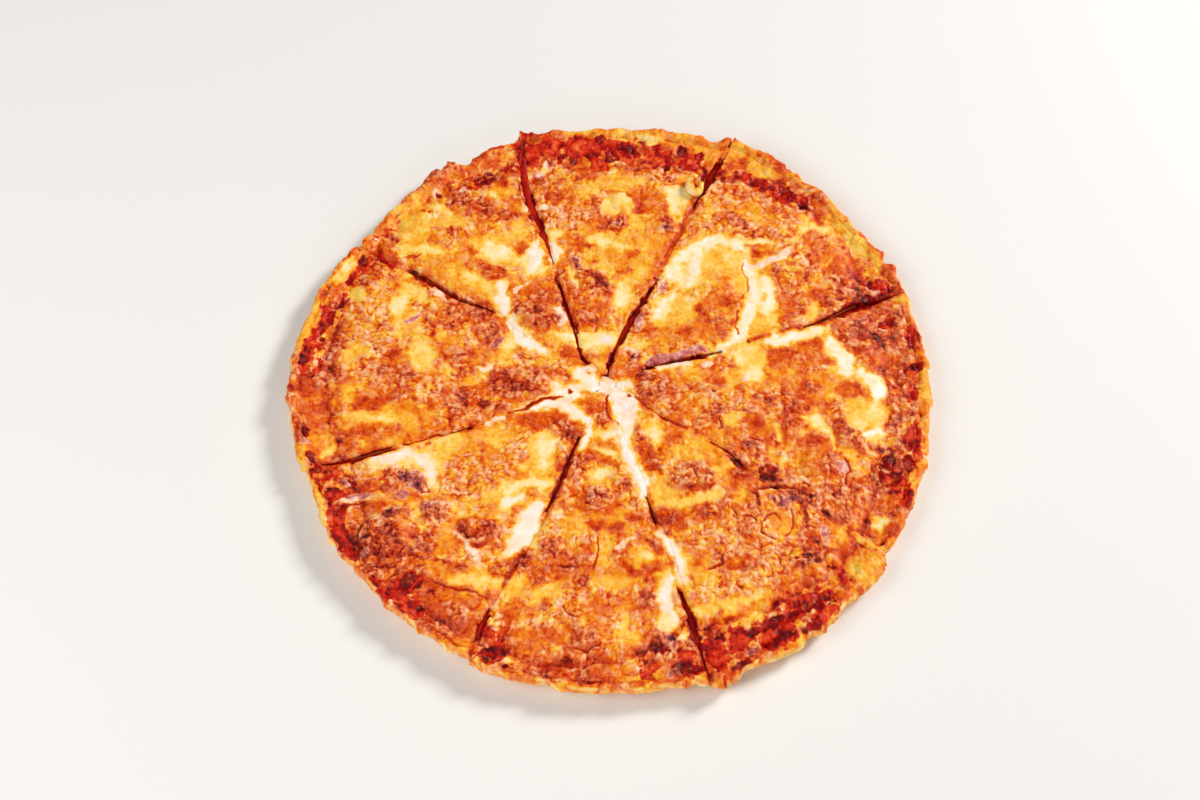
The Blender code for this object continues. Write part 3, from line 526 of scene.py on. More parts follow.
touch("maroon", [
    (89, 110, 8, 6, -30), (93, 104.5, 7, 3, -15), (75, 113, 6, 3, -30), (-49, -131, 12, 8),
    (33, -129, 8, 6), (130, -57, 7, 10), (128, -64, 6, 4, 20), (-115, -50, 6, 5), (-19, -134, 5, 2),
    (-123, -54, 5, 4), [(122, 57, 3), (127, 53, 3), (132, 48, 3)],
    [(-122, -66, 5), (-118, -76, 7), (-112, -86, 5)], (-86, -99, 10, 7),
    [(80, -109, 2), (88, -108, 3), (96, -105, 2.4)], [(-52, -113, 1.5), (-54, -119, 2.5), (-57, -125, 1.5)],
    (44, 112, 2.6, 6), [(-41, 112, 2.6), (-38, 103, 3), (-34, 92, 2.4), (-31, 82, 2)],
    [(-21, 44, 1.2), (-17, 35, 1.8), (-14, 29, 1.4)],
    [(24, 58, 1), (19, 48, 2), (13.5, 38, 3.6), (9, 28, 3), (4, 18, 2.4), (0, 9, 1.4)],
    [(19, 9, 3), (26, 10.5, 2.4), (36, 12.5, 1.8), (46, 15.5, 1.8), (53, 17, 1)]
])
touch("yellow", [
    (50, 66, 15, 26, -15), (35, 40, 8, 10), (-97, 88, 9, 13), (-42, 88, 7, 12), (57, -18, 6, 5),
    (26, -57, 13, 7), (14, -86, 10, 10), (-73, -32, 14, 6, 10), (-84, -43, 3, 8), (-40, -103, 8, 12),
    (20, -21, 7, 4), (-25, 22, 6, 5), (-63, 79, 7, 9), (-2, 65, 8, 5), (18, 78, 8, 6), (-47, 14, 8, 6),
    (-120, -5, 5, 12), (42, -112, 11, 7), (-3, -47, 13, 12), (74, 32, 10, 12),
    [(-4, -78, 3), (-4, -86, 4), (-2, -91, 5)], [(-75, 60, 3), (-62, 54, 4), (-56, 51, 4)]
])
touch("butter", [
    (-87, 14, 12, 13), (78, 40, 6, 26, 5), (68, 13, 13, 20), (117, -18, 12, 10), (-60, 56, 22, 4, -30),
    (98, 40, 5, 12, -15), (7, -118, 5, 10), (3, 101, 11, 11), (15, 21, 10, 5), (20, 12.5, 8, 4),
    [(-98, 74, 3), (-90, 75, 4), (-82, 73, 3)], [(-90, -32, 2), (-80, -29, 4), (-68, -27, 4)],
    [(-68, -98, 2), (-55, -99, 3), (-48, -100, 2)], [(22, 35, 2), (25, 44, 3.5), (33, 48, 3), (38, 46, 2)],
    [(24, -60, 4), (32, -60, 5), (42, -58, 5), (50, -56, 4)], [(97, 92, 3), (100, 88, 4), (106, 86, 5)]
])
touch("cream", [
    (36, 106, 14, 12), (-3, 80, 12, 4, -15), (-54, 74, 10, 7), (-6, 25, 14, 6), (-3, -46, 9, 6),
    (7, 49, 4, 12, 10), (69, 5, 9, 8), (21, -25, 7, 6), (17, -86, 5, 4), (34, -122, 5, 4),
    (-38, -50, 12, 3, 5), (-12, 22, 6, 3), (62, 14, 5, 8), (-43, -133, 6, 4),
    [(-24, -30, 4), (-28, -38, 3), (-29, -46, 1.5)], [(77, -22, 1.5), (79, -29, 2)],
    [(99, -21, 1.5), (103, -27, 1.5), (104, -33, 1)], [(-18, 65, 1.8), (-17, 58, 1.8), (-14, 55, 1.8)],
    [(96, -17, 3), (92, -20, 2)], [(66, 78, 2.5), (74, 79, 3), (84, 78, 2)]
])
touch("milk", [
    [(31, 60, 7), (35, 68, 6), (44, 75, 7), (54, 80, 7), (62, 78, 5), (66, 74, 3)],
    [(44, 72, 5), (42, 62, 5), (40, 54, 3)],
    [(66, 67, 3.5), (69, 60, 5), (71, 52, 6), (70, 44, 6.5), (66, 34, 6), (63, 26, 6), (57, 21, 4),
     (48, 17, 2)],
    [(76, 56, 5), (78, 48, 5), (76, 40, 4)], [(23, 36, 2), (26, 44, 3), (32, 47, 2.5)],
    [(76, 22.5, 3.4), (84, 24, 5), (92, 27, 6), (100, 29, 4)],
    [(105, 23, 3.4), (109, 17, 7), (112, 12, 7), (112, 6, 4)],
    [(118, 5.5, 4), (124, 2, 7), (127, -3, 6), (125, -8, 4)], [(119, -26, 4), (126, -24, 4)]
])
touch("pearl", [
    [(-13, 5, 5), (-6, 0, 7), (2, -3, 7), (8, -8, 10), (8, -15, 11.5), (7, -22, 8), (7, -28, 5)],
    [(-42, -13, 2), (-30, -10, 4.4), (-22, -9, 6), (-14, -5, 6)],
    [(-20, -12, 4), (-14, -15, 5), (-11, -18, 3)], [(-24, 0, 3), (-22, -5, 3), (-13, -2, 5)],
    [(-9, -19, 2.5), (-8.5, -26, 3), (-11, -32, 2)],
    [(7, -28, 4.5), (9, -36, 4), (12, -43, 4.6), (15, -50, 4.6), (17, -57, 2.6)],
    [(-2, -27, 2), (4, -26, 4)],
    [(23, -76, 1.8), (28, -82, 2.6), (32, -87, 2.8), (33, -93, 3.8), (33.5, -99, 3)],
    [(28, -97, 3), (25, -103, 5), (26, -110, 5.6), (28, -116, 4)],
    [(-46, 35, 4), (-40, 25, 7), (-33, 20, 4), (-29, 17.5, 2)], [(-50, 54, 4), (-51, 47, 6), (-49, 40, 5)],
    [(-34, 78, 3), (-35, 70, 7), (-36, 65, 5), (-38, 60, 2)], [(-26, 78, 4), (-24, 74, 7), (-25, 69, 3)],
    [(3, -1, 3), (8, 0, 3.6), (11, 0, 2.4)],
    [(-30, -61, 5), (-34, -68, 9), (-37, -75, 10), (-41, -82, 6), (-45, -85, 3)],
    [(-38, -58, 3), (-45, -60, 4)], [(-105, -38.5, 3.4), (-98, -39, 5), (-92, -36, 4), (-87, -37, 3)],
    [(-87, -37, 3), (-82, -41, 6), (-79, -47, 4), (-78, -51, 2.4)],
    [(24, 8.5, 2.4), (33, 10, 3), (40, 11.5, 1.5)], [(-82, -54, 1), (-79, -52, 2)]
])
touch("lilac", [
    (0, 24, 4, 4), (-8, 8, 5, 4, -30), (12, 18, 5, 4), (46, 11, 4, 3), (64, 4, 3, 5), (-56, 8, 5, 3),
    (-80, 48.5, 7, 2.6, -30), (9.5, -9, 6, 8), (-31, 99, 5, 4), (-20, -9.5, 10, 2, 20),
    [(-55, -20.5, 2), (-48, -18, 2.4)], [(66, 67, 1.4), (72, 65, 2.4), (80, 68, 3), (88, 73, 3)],
    [(-24, 41, 1.2), (-19.5, 36, 1.8), (-24, 32, 1.2)], [(-44, 51, 1.2), (-38, 56, 1.6)],
    [(24, 48, 1), (27, 52, 2), (26, 58, 1.5)], [(5, -83, 1.2), (8, -80, 1.2), (12, -78, 1)],
    [(31, -89, 1.6), (33, -97, 2)], [(-66, -76, 1.6), (-60, -83, 2), (-57, -88, 1.6)]
])
touch("flesh", [
    [(19, 11, 2), (27, 13.5, 4.4), (36, 15.5, 4.6), (45, 18.5, 2.6)], (-113, -57, 14, 3.6, 8),
    (16, 34, 3, 9, -15), (97, -74, 4, 6), (106, -43, 5, 8), (27, 53, 3, 6, -20), (-92, -56, 6, 4),
    (-52, 22, 8, 3, 35), (-92, 35, 8, 3, 40)
])
touch("cocoa", [
    (81, -58, 9, 9), (89, -88, 8, 4, 10), (-97, -66, 6, 8, -20), (-79, -63, 9, 8), (-84, -82, 10, 5),
    (119, 35, 8, 4, 20), (121, 48, 5, 8), (-107, -72, 4, 10, -20)
])
touch("ash", [
    (-87, -50, 14, 9, -40), (10.5, 13, 2.5, 6, -20), (80, -60, 7, 6), (74, -58, 5, 4), (27, -126, 6, 8),
    (-101, -71, 4, 5), (-80, -61, 6, 5), (66, -32, 6, 4), (-15, 66, 4, 7, 15), (-8, -58, 4, 3),
    (118, 27, 8, 3, 10), (-75, 31, 3, 3), (-68, -8, 3, 4), (29, 87, 3, 5), (5, 91, 3, 3), (95, -1, 3, 3),
    (-34, 120, 6, 5)
])
touch("char", [
    (-9.5, 11.5, 3.4, 2.8), (-57, -10, 4.5, 4.5), (84, -88, 3.5, 3), (92, -88, 4, 3), (127, -41, 6, 8),
    (116.5, -69, 3, 2.2, -30), (-90, -109, 6, 3.5, -20), (16, -135, 3.4, 3.4), (31, -138, 8, 5),
    (44, -119, 3, 2), (-59.5, 96, 4, 4.5), (97, 99.5, 3.4, 3), (73, -48, 5, 4), (88, -55, 4, 4),
    (10, -5.3, 1.6, 1.2), (97.5, -64.5, 4, 1.8, -45), (67, 22.5, 1.8, 1.4), (-3, 55, 7, 3, -40),
    (36, -122, 3, 6, 20), [(108, 37.5, 2), (114, 40.5, 5), (119, 44, 5.5), (124, 44, 2)],
    [(55, -37, 1), (58, -40, 3.4), (62, -43.5, 1.4)], [(69, -45, 3), (71, -49, 3)],
    [(-94, 62, 2), (-89, 57, 2.8), (-83, 53, 1.2)], [(-80, 51, 0.8), (-76, 48.5, 1.8), (-72, 47.5, 1.8)]
])
touch("ember", [[(-43, -109, 2), (-46, -117, 3), (-45, -122, 2)]])
touch("umber", [
    [(-14, -28, 2.6), (-19, -43, 3.2), (-23, -55, 3.4), (-28, -65, 2)],
    [(-37, -84, 2), (-42, -93, 3), (-46, -101, 1.5)]
])
# painted shade: thin dark lines painted in folds and grooves, where the melt also dips a little
touch("crease", [
    [(-46, -15, 1), (-36, -11, 1.8), (-28, -8, 1.4), (-20, -6.4, 0.8)], (-17, -3.5, 2.6, 2.6),
    [(-12, 20, 0.9), (-11.5, 15, 1.4), (-10, 12, 1)],
    [(0.5, -4, 0.8), (-0.5, -12, 1), (1, -18, 0.9), (4, -22, 0.6)],
    [(65, 67, 0.7), (67, 58, 0.6), (67.5, 51, 0.6)], [(62.5, 40, 0.7), (61.5, 33, 0.7), (62, 27, 0.8)],
    [(64, -55.5, 0.8), (67, -57, 1.2), (67.5, -61.5, 1.4)],
    [(69, -70, 0.8), (71, -66, 0.8), (75, -65, 0.8), (77, -68, 0.8)],
    [(69, -54, 1.2), (76, -52, 1.8), (84, -54, 0.8)], [(108, -38, 0.7), (109.5, -45, 0.9), (107, -52, 1)],
    [(109, -77, 0.7), (114, -81, 0.7), (121, -80.5, 0.7), (127, -75, 0.8)],
    [(-20, -110, 0.6), (-16, -113, 0.9), (-12, -115, 0.6)],
    [(-13, -128, 0.8), (-8, -130.5, 1), (-2.5, -127, 0.8)],
    [(-80, -97, 0.6), (-70, -101, 1), (-58, -103, 0.8), (-52, -106, 0.6)],
    [(-110, -71, 1.2), (-111.5, -80, 1.3), (-108, -88, 1.6)],
    [(-122, -62, 0.8), (-115, -61.5, 1), (-107, -59.5, 0.6)],
    [(-72, -25, 0.6), (-85, -29, 1), (-94, -32, 0.8)], [(-5, -78, 0.6), (-5.5, -92, 0.7)],
    [(43, -92, 0.8), (50, -91, 1.4), (51, -86, 1.4)], [(82, 60, 0.6), (84, 52, 0.6)],
    [(-44, 112, 0.8), (-38, 97, 0.8)], [(-100, 69, 0.6), (-94, 72, 0.8), (-90, 72, 0.6)],
    [(-20, 63, 1), (-24, 59, 1.4), (-22.5, 53, 1.8), (-21, 46, 1)],
    [(31, -102, 1), (34, -110, 1), (36, -116, 1.4)],
    [(12, -6, 0.7), (18, -12, 0.9), (26, -18, 0.8), (36, -22.5, 0.7)],
    [(-84, -55.5, 0.7), (-80, -55, 0.7), (-82, -50, 0.6)],
    [(82, -64, 0.6), (82.5, -72, 0.8), (80, -77, 0.6)], [(62, -66, 0.6), (66, -69.5, 1)],
    [(-49, -126, 0.8), (-57, -134, 0.8)], [(50, -24, 1), (52, -22, 1.2), (51, -18, 0.8)],
    [(75, -78, 0.5), (69, -75, 0.6), (68, -70, 0.6)]
])

rimTouch("gold", [
    (3, 144, 16, 5), (12, 145, 16, 6), (21, 142, 8, 10), (26, 150, 10, 8), (31, 146, 8, 8),
    (39, 150, 12, 4), (49, 148, 14, 6), (65, 142, 12, 6), (74, 150.5, 10, 3), (89, 149.5, 8, 4),
    (103, 149.8, 40, 3), (128, 146, 18, 16), (176, 144, 8, 5), (197, 147.6, 16, 2.4), (206, 142, 8, 10),
    (238, 147.5, 8, 2.4), (258, 133, 10, 12), (282, 147, 14, 3), (302, 140, 12, 4), (318, 138, 24, 12),
    (323, 150, 18, 2), (339, 141, 8, 12), (354, 147, 16, 3)
])
rimTouch("amber", [
    (9.5, 150, 9, 3.4), (29, 151, 10, 4), (53, 128, 20, 12), (73, 123, 3, 10), (84, 131, 6, 8),
    (116, 139, 8, 12), (139, 132, 14, 8), (151, 140, 5, 5), (154, 147, 5, 4), (158.5, 154, 3, 5),
    (293, 138, 5, 4), (239.5, 124, 5, 16), (308, 140, 8, 8), (325, 141, 16, 6), (329, 140, 10, 8),
    (359, 147, 6, 3)
])
rimTouch("ember", [
    (28, 143, 6, 5), (34.5, 150, 6, 4), (60, 150.6, 30, 2), (59, 129, 5, 8), [(60, 133, 2), (68, 139, 4)],
    (115, 143, 8, 8), (123.5, 135, 3, 12), (156, 143, 6, 6), (169, 146, 8, 3), (188, 139, 14, 8),
    (196, 145.8, 12, 1.4), (200, 124, 3, 14), (217, 132, 6, 5), (265, 132, 6, 7), (263, 138, 5, 5),
    (290, 145, 10, 3), (300, 144, 6, 3), (324, 147.5, 18, 2), (336, 138, 6, 6),
    [(345, 128, 2.4), (346, 134, 3), (348, 135, 3), (350, 129, 2.4)]
])
rimTouch("rust", [
    (46, 148, 6, 6), (68, 134, 9, 9), (76, 132, 6, 10), (80, 140, 10, 8), (96, 142, 10, 6),
    (102, 135, 14, 8), (122, 125, 8, 10), (165, 133, 6, 6), (185, 140, 8, 6), (229, 131, 20, 22),
    (266, 147.6, 14, 2.6), (254, 140, 8, 5), (324, 144, 20, 2), (329, 148, 6, 3), (326, 128, 10, 10),
    (272, 146, 8, 3)
])
rimTouch("umber", [
    (65.5, 129, 5, 6), (77, 127, 4, 8), (108, 138, 11, 11), (133, 124, 5, 8), (137, 124, 4, 4),
    (170, 131, 10, 4), (184, 144.6, 10, 1.8), (191, 145, 6, 1.8), (211, 142, 8, 2.4), (219, 142.5, 8, 2.6),
    (224, 138, 6, 8), [(230, 140, 3), (234, 136, 3), (236, 130, 2)], (248, 129, 5, 6), (230, 129, 20, 20),
    (258, 141, 4, 4), (324, 146, 18, 1.8), (306, 144.5, 8, 2), (291, 144.5, 6, 2), (307, 117, 6, 4),
    (329, 119, 4, 6)
])
rimTouch("scarlet", [
    (2, 134, 14, 12), (11, 133, 12, 12), (18, 134, 14, 12), (28, 143, 4, 3), (41, 143, 16, 7),
    (36, 137.6, 10, 4), (64, 135.5, 10, 3), (68, 143, 9, 9), (76, 138, 5, 6), (80, 146, 12, 6),
    (87, 143, 6, 8), (92, 141.5, 9, 6), (100, 143.5, 14, 6), (105, 146, 8, 5), (113, 146, 12, 7),
    (111, 138, 8, 10), (140, 147, 14, 9), (149, 144, 20, 12), (156, 138, 12, 9), (160.5, 140, 10, 16),
    (161, 152, 4, 8), (166, 138, 8, 10), (173, 139, 8, 5), (186, 141, 4, 3), (201, 141, 9, 10),
    (200.5, 134, 3, 10), (218, 140, 12, 8), (224, 143, 12, 8), (222, 132, 9, 12), (237, 142, 20, 6),
    (240, 140, 6, 9), (245, 135, 6, 7), (249.5, 134, 4, 8), (279, 142, 6, 6), (275, 136, 10, 3),
    (283, 139, 12, 5), (299, 134, 7, 6), [(303, 131, 3), (302, 122, 3)], (331, 130, 10, 6),
    (345, 144, 14, 12), (349, 140, 10, 11), (355, 135, 10, 10), (358, 138, 10, 8), (359, 127, 8, 9),
    (353, 131, 6, 6), (341, 129, 4, 8)
])
rimTouch("maroon", [
    (1, 131, 8, 8), (4.5, 134, 8, 6), (13.5, 131, 5, 9), (16, 139, 7, 6), (19.5, 138, 5, 8),
    (22, 130, 3, 10), (9, 129, 6, 3), [(24, 140, 2.6), (24, 128, 4), (24, 117, 2)], (33, 137.6, 10, 2.6),
    (39.5, 141, 9, 6), (44, 140, 3, 6), (67, 138, 6, 4), [(69.5, 136, 4), (70, 128, 5.6), (71, 117, 3)],
    (76, 136, 3, 4), (86, 146, 6, 6), (92.5, 142, 4, 3.4), (106, 143, 8, 6), (113, 147.5, 8, 4),
    (110.5, 138, 6, 8), (108, 134, 8, 5), (143, 148, 9, 6), (149, 145.5, 14, 5),
    [(140, 142, 3), (146, 138, 4), (153, 135.5, 2.6)], (137, 146, 5, 4), (157, 148, 10, 4),
    (162, 136, 4, 6), [(162.6, 132, 3), (162.6, 116, 2.6)], (166.5, 141, 8, 6), (170, 131.5, 8, 3),
    (201.5, 140, 6, 7), (222, 131, 6, 9), (225.5, 143.5, 9, 4), (233, 141.5, 8, 3), (237, 143, 10, 2.6),
    (245, 138, 8, 2), (242, 136, 3, 6), (254.5, 139.5, 7, 4), (275, 143, 6, 4), (282.5, 138.5, 8, 3.6),
    (286, 136, 10, 3.6), (289.5, 134.5, 6, 2.4), (296, 136.5, 6, 2.6), (300, 137.5, 5, 4.4),
    (331, 131, 7, 4), [(340.6, 125, 3), (340, 119, 5), (339.6, 110, 3)], (358, 133, 5, 5),
    (349.5, 131, 3, 6), (204.3, 132, 2, 11)
])
rimTouch("butter", [
    (8.5, 142.5, 12, 4.6), (57, 147, 5, 5), (48.5, 130, 3, 14), (97, 127, 14, 9), (103, 129, 3, 10),
    (120, 141, 8, 8), (148, 152.6, 14, 2), (244, 144, 24, 3), (252.6, 145, 4, 4), (297, 142, 12, 4.6),
    (124.5, 139, 3, 14), (255, 131, 4, 9), [(307, 125, 3), (311, 116, 4)]
])
rimTouch("yellow", [
    (313, 131, 7, 15), (311, 124, 10, 8), (128, 128, 10, 3), (130, 143, 8, 8), (286, 144, 12, 4),
    (293, 130, 8, 5), (57, 144, 18, 7), (151, 129, 16, 6), (176, 125, 10, 8)
])
rimTouch("cream", [
    (120, 142, 4, 4), (8, 142.5, 4, 3), (164, 126, 6, 4), (168, 120, 8, 7), (297, 142, 6, 2.4)
])
rimTouch("lilac", [
    (243, 128, 2.4, 11), (346.5, 130, 3, 5), (322, 137, 5, 3), (343.5, 124.2, 7, 1.2), (327, 131, 4, 4)
])
rimTouch("ash", [
    (69, 137.5, 4, 4), (231.5, 137.5, 4, 5), (347.5, 130, 3, 5), (334, 134.5, 5, 4), (234, 134, 4, 5),
    (247, 128, 4, 5), (155, 145, 5, 2.6), (145.5, 147, 4, 3), (277, 132, 5, 4), (258, 142, 3, 3),
    (168.5, 142, 4, 4)
])
rimTouch("gold", [(90, 147, 8, 4), (15, 147, 8, 5)])
# painted light: the yellow marks here and the amber ones at 40 and 46 degrees are painted paler to lift the
# shade on the rim's inner slope, which faces away from the window lamp
rimTouch("yellow", [(33, 146, 7, 6), (53, 146, 9, 5), (62, 147, 11, 5)])
rimTouch("amber", [(40, 146, 9, 5), (46, 145, 8, 5), (97, 146, 8, 4)])
rimTouch("ember", [
    (120, 146, 8, 6), (136, 146, 8, 4), (175, 145.5, 6, 4), (336, 146, 14, 5), (346, 146, 9, 5),
    (28, 145, 5, 6)
])
rimTouch("rust", [(145, 145, 9, 4), (200, 146, 7, 4), (266, 146, 9, 5), (326, 146, 16, 5)])
rimTouch("char", [
    (70.3, 141.5, 4, 4), (70.4, 130, 3, 8), (70.8, 121, 2.4, 9), (80, 149.6, 9, 2.4), (107.6, 143, 5, 4),
    (107, 134, 5, 4), (110.6, 138, 4, 4), (114, 149, 5, 2.6), (120.5, 136, 2, 3.2), (145, 148.5, 4, 3),
    (158, 148.5, 6, 2.4), (141, 139.5, 8, 2), (166.6, 142, 4.6, 4.4), (172, 136.5, 4, 3.4),
    (163, 129, 2.4, 8), (183, 144.4, 4, 1.6), (201.6, 143, 4, 3), (222, 130.5, 4, 5), (218.6, 142.4, 5, 2),
    (241.5, 138, 2, 3), (250.6, 132, 2, 8), (251.6, 140, 3, 5), (251, 121, 3, 8), (255, 139.6, 5, 2.6),
    (300.6, 138, 3, 2.6), (322, 136, 3, 3), (334, 133.4, 3, 3), (352.6, 128.6, 5, 5),
    (359.4, 141.6, 3, 2.6), (1, 130.6, 4, 3), (284, 136.6, 5, 1.6), (39, 143, 3, 2)
])


markEdges = {
    "haloStrength": 0.8,
    "pale": 0.95,              # how crisp a pale touch is; below 1 is crisper than its finish
    "dark": 0.7,
    "aroundMelt": (1.2, 4.0),  # how far the buttery edge of melt reaches, and its softness
    "margins": (12, 14),       # room left around an oval and around a band, in mm
}
paleKinds = ("gold", "yellow", "butter", "cream", "milk", "pearl")


def planWindow(x0, x1, y0, y1, margin):
    # the rows and columns of the plan around a box
    def span(low, high):
        first = int((low - margin + planGrid["half"]) / planGrid["pitch"])
        last = int((high + margin + planGrid["half"]) / planGrid["pitch"]) + 1
        return slice(max(first, 0), min(last, len(planAxis)))
    return span(y0, y1), span(x0, x1)


def ovalReach(patch, oval):
    # how far inside the oval a point lies, in mm: one minus its radius in the oval's own
    # measure, times the shorter half axis
    x, y, length, width, turn = (*oval, 0)[:5]
    turn = math.radians(turn)
    dx, dy = bentX[patch] - x, bentY[patch] - y
    u = (dx * math.cos(turn) + dy * math.sin(turn)) / (length / 2)
    v = (dy * math.cos(turn) - dx * math.sin(turn)) / (width / 2)
    return (1 - np.hypot(u, v)) * min(length, width) / 2


def bandReach(patch, band):
    # half the band's width, blended between its points, less the distance to its middle line
    outside = -99.0
    best = np.full(bentX[patch].shape, outside)
    for (x0, y0, width0), (x1, y1, width1) in zip(band, band[1:]):
        dx, dy = x1 - x0, y1 - y0
        along = ((bentX[patch] - x0) * dx + (bentY[patch] - y0) * dy) / (dx * dx + dy * dy)
        along = np.clip(along, 0, 1)
        away = np.hypot(bentX[patch] - x0 - along * dx, bentY[patch] - y0 - along * dy)
        best = np.maximum(best, (width0 + (width1 - width0) * along) / 2 - away)
    return best


def layOn(kind, patch, reach, softer=0.0, fine=1.0):
    # moves the plan's fields towards the finish where the mark reaches; fine below 1 gives it
    # a crisper and smoother edge
    finish = finishes[kind]
    soft = (softer or finish["soft"]) * fine
    mask = eased((reach + finish["rag"] * fine * ragged[patch]) / soft + 0.5)
    mask = mask * (1 - finish["keep"])
    if softer:
        mask = mask * markEdges["haloStrength"]
    target = dict(finish, level=finish["level"] + finish["vary"] * mottle[patch])
    for field in ("level", "crumb", "rise", "pink", "sauce"):
        plan[field][patch] += (target[field] - plan[field][patch]) * mask


def sampled(field, x, y):
    # a plan field at any points, blended between its four nearest grid points
    u = np.clip((x + planGrid["half"]) / planGrid["pitch"], 0, len(planAxis) - 1.001)
    v = np.clip((y + planGrid["half"]) / planGrid["pitch"], 0, len(planAxis) - 1.001)
    i, j = u.astype(int), v.astype(int)
    u, v = u - i, v - j
    return ((field[j, i] * (1 - u) + field[j, i + 1] * u) * (1 - v)
            + (field[j + 1, i] * (1 - u) + field[j + 1, i + 1] * u) * v)


def softened(field, width):
    # a bell-weighted mean along x and then along y; width is the bell's, in mm
    farthest = int(2.5 * width / planGrid["pitch"])
    steps = np.arange(-farthest, farthest + 1)
    weights = np.exp(-0.5 * (steps * planGrid["pitch"] / width) ** 2)
    for axis in (0, 1):
        field = sum(weight * np.roll(field, step, axis) for step, weight in zip(steps, weights))
        field = field / weights.sum()
    return field


def cutDistance():
    # distance from each plan point to the nearest cut's middle, in mm
    angle = np.arctan2(planY, planX)
    nearest = planRadius * math.pi
    for name in cuts:
        away = (angle - cutSide(name, planRadius, 0) + math.pi) % (2 * math.pi) - math.pi
        nearest = np.minimum(nearest, np.abs(away) * planRadius)
    return nearest


texture = {
    "patches": (18.0, 0.11),     # size in mm and strength of the bake's differences
    "spots": (6.0, 0.17),
    "shreds": (2.2, 5.0, 0.12),      # width, length and height in mm of melted shreds
    "lumps": (4.8, 0.55, 0.10),      # size, height in mm and difference in bake
    "crumbs": (2.6, 0.34, 0.12),
    "grains": (1.4, 0.20, 0.10),
    "veins": (6.0, 0.28),        # size and height of strands melted over the rest
    "lineWidth": 0.95,
    "lines": (0.11, 0.07, 0.09),     # darkness of lines round lumps, round crumbs, and of wrinkles
    "paintedCavityShade": 0.070,        # painted shade and highlights: how much darker the hollows, and paler the raised tops, are painted
    "shredTopsAndHighlights": 0.12,              # how much paler the tops of some shreds are: paler strands, and painted highlights on them
    "pits": (2.3, 0.11),         # size and darkness of small pits
    "paintedGlints": (0.25, 0.8, 0.45, 0.09),    # painted highlights: slope they start at, sharpness, pinkness, paleness
    "blush": 0.80,               # how peach coloured the crumbly parts are
    "cut": (1.5, 0.14),          # width and darkness of the band of painted shade along the cuts
    "rimLevel": 0.07,
    "toLip": (118, 14),          # where the rim's look fades in, and over how many mm
    "onLip": (141, 4),
    "rimSauce": (0.85, 125, 7, 143, 4),    # how much sauce, and where it fades in and out
    "even": (0.09, 0.53),        # how much the bake inside the rim is drawn to one level
    "bubble": 0.10,              # height of the finest bumps
    "hollow": (1.2, 0.22),       # width and depth in mm of a full hollow
    "darkest": (0.8, 0.65),      # level above which the bake is held back, and by how much
}


def crumbField(size, seed):
    # a dome on each random cell, the cell's own number from -0.5 to 0.5, and the thin line
    # between cells: 1 on it, 0 from lineWidth away
    nearest, second, number = cellNoise(bentX, bentY, size, seed)
    line = eased(1 - (second - nearest) * size / texture["lineWidth"])
    return 0.62 - 1.7 * nearest ** 2, number - 0.5, line


def shredField(patchSize, seed):
    # long ridges; each random patch has its own direction for them
    number = cellNoise(bentX, bentY, patchSize, seed)[2]
    width, length = texture["shreds"][:2]
    turn = number * math.pi
    along = (bentX * np.cos(turn) + bentY * np.sin(turn)) * width / length
    side = bentY * np.cos(turn) - bentX * np.sin(turn)
    return 1 - 2.6 * np.abs(waveNoise(along + 40 * number, side, width, seed + 5))


def fadeIn(radius, width):
    # 0 inside the radius, eased to 1 over the width
    return eased((planRadius - radius) / width)


print("painting the plan")
planRadius = np.hypot(planX, planY)
toLip = fadeIn(*texture["toLip"])
onLip = fadeIn(*texture["onLip"])
rimSauce, sauceFrom, sauceIn, sauceTo, sauceOut = texture["rimSauce"]
plan = {
    "level": (0.525 + texture["patches"][1] * planNoise(texture["patches"][0], 3, 31, 0.6)
              + texture["spots"][1] * planNoise(texture["spots"][0], 2, 35)
              + texture["rimLevel"] * (toLip - onLip * 0.5)),
    "crumb": np.clip(0.66 + 0.8 * planNoise(20.0, 2, 37) - 0.2 * onLip, 0.12, 1),
    "rise": 0.25 * planNoise(14.0, 2, 41),
    "pink": np.zeros(planX.shape),
    "sauce": (rimSauce * eased(planNoise(9.0, 3, 43, 0.7) * 3.0)
              * fadeIn(sauceFrom, sauceIn) * (1 - fadeIn(sauceTo, sauceOut))),
}

# blotches on random cells: cell size and seed, the blotch's radius in cells, how crisp it is, the
# share of cells that have one, how much darker and higher it is, and where
blotches = [
    (8.0, 61, 0.38, 5, 0.45, 0.15, 0.25, 1),
    (6.5, 71, 0.42, 4, 0.40, -0.14, 0, 1),
    (4.6, 75, 0.40, 4, 0.32, 0.15, 0, toLip),
]
for cell, seed, radius, crisp, share, darker, higher, where in blotches:
    away, _, cellNumber = cellNoise(bentX, bentY, cell, seed)
    blotch = eased((radius - away + 0.10 * ragged) * crisp) * (cellNumber < share)
    plan["level"] += darker * blotch * where
    plan["rise"] += higher * blotch


# a wider and softer mark laid under each: its finish, how much wider in mm, and its softness
halos = {
    "rust": ("ember", 3.2, 2.6),
    "umber": ("rust", 3.0, 2.4),
    "milk": ("butter", 5.0, 6.0),
    "cream": ("yellow", 4.0, 4.0),
    "ember": ("amber", 3.0, 3.0),
}


def aroundRim(degrees, distance, length, width):
    # an oval given by its place round the rim, as x, y, length, width and turn
    turn = math.radians(degrees)
    return distance * math.sin(turn), distance * math.cos(turn), length, width, -degrees


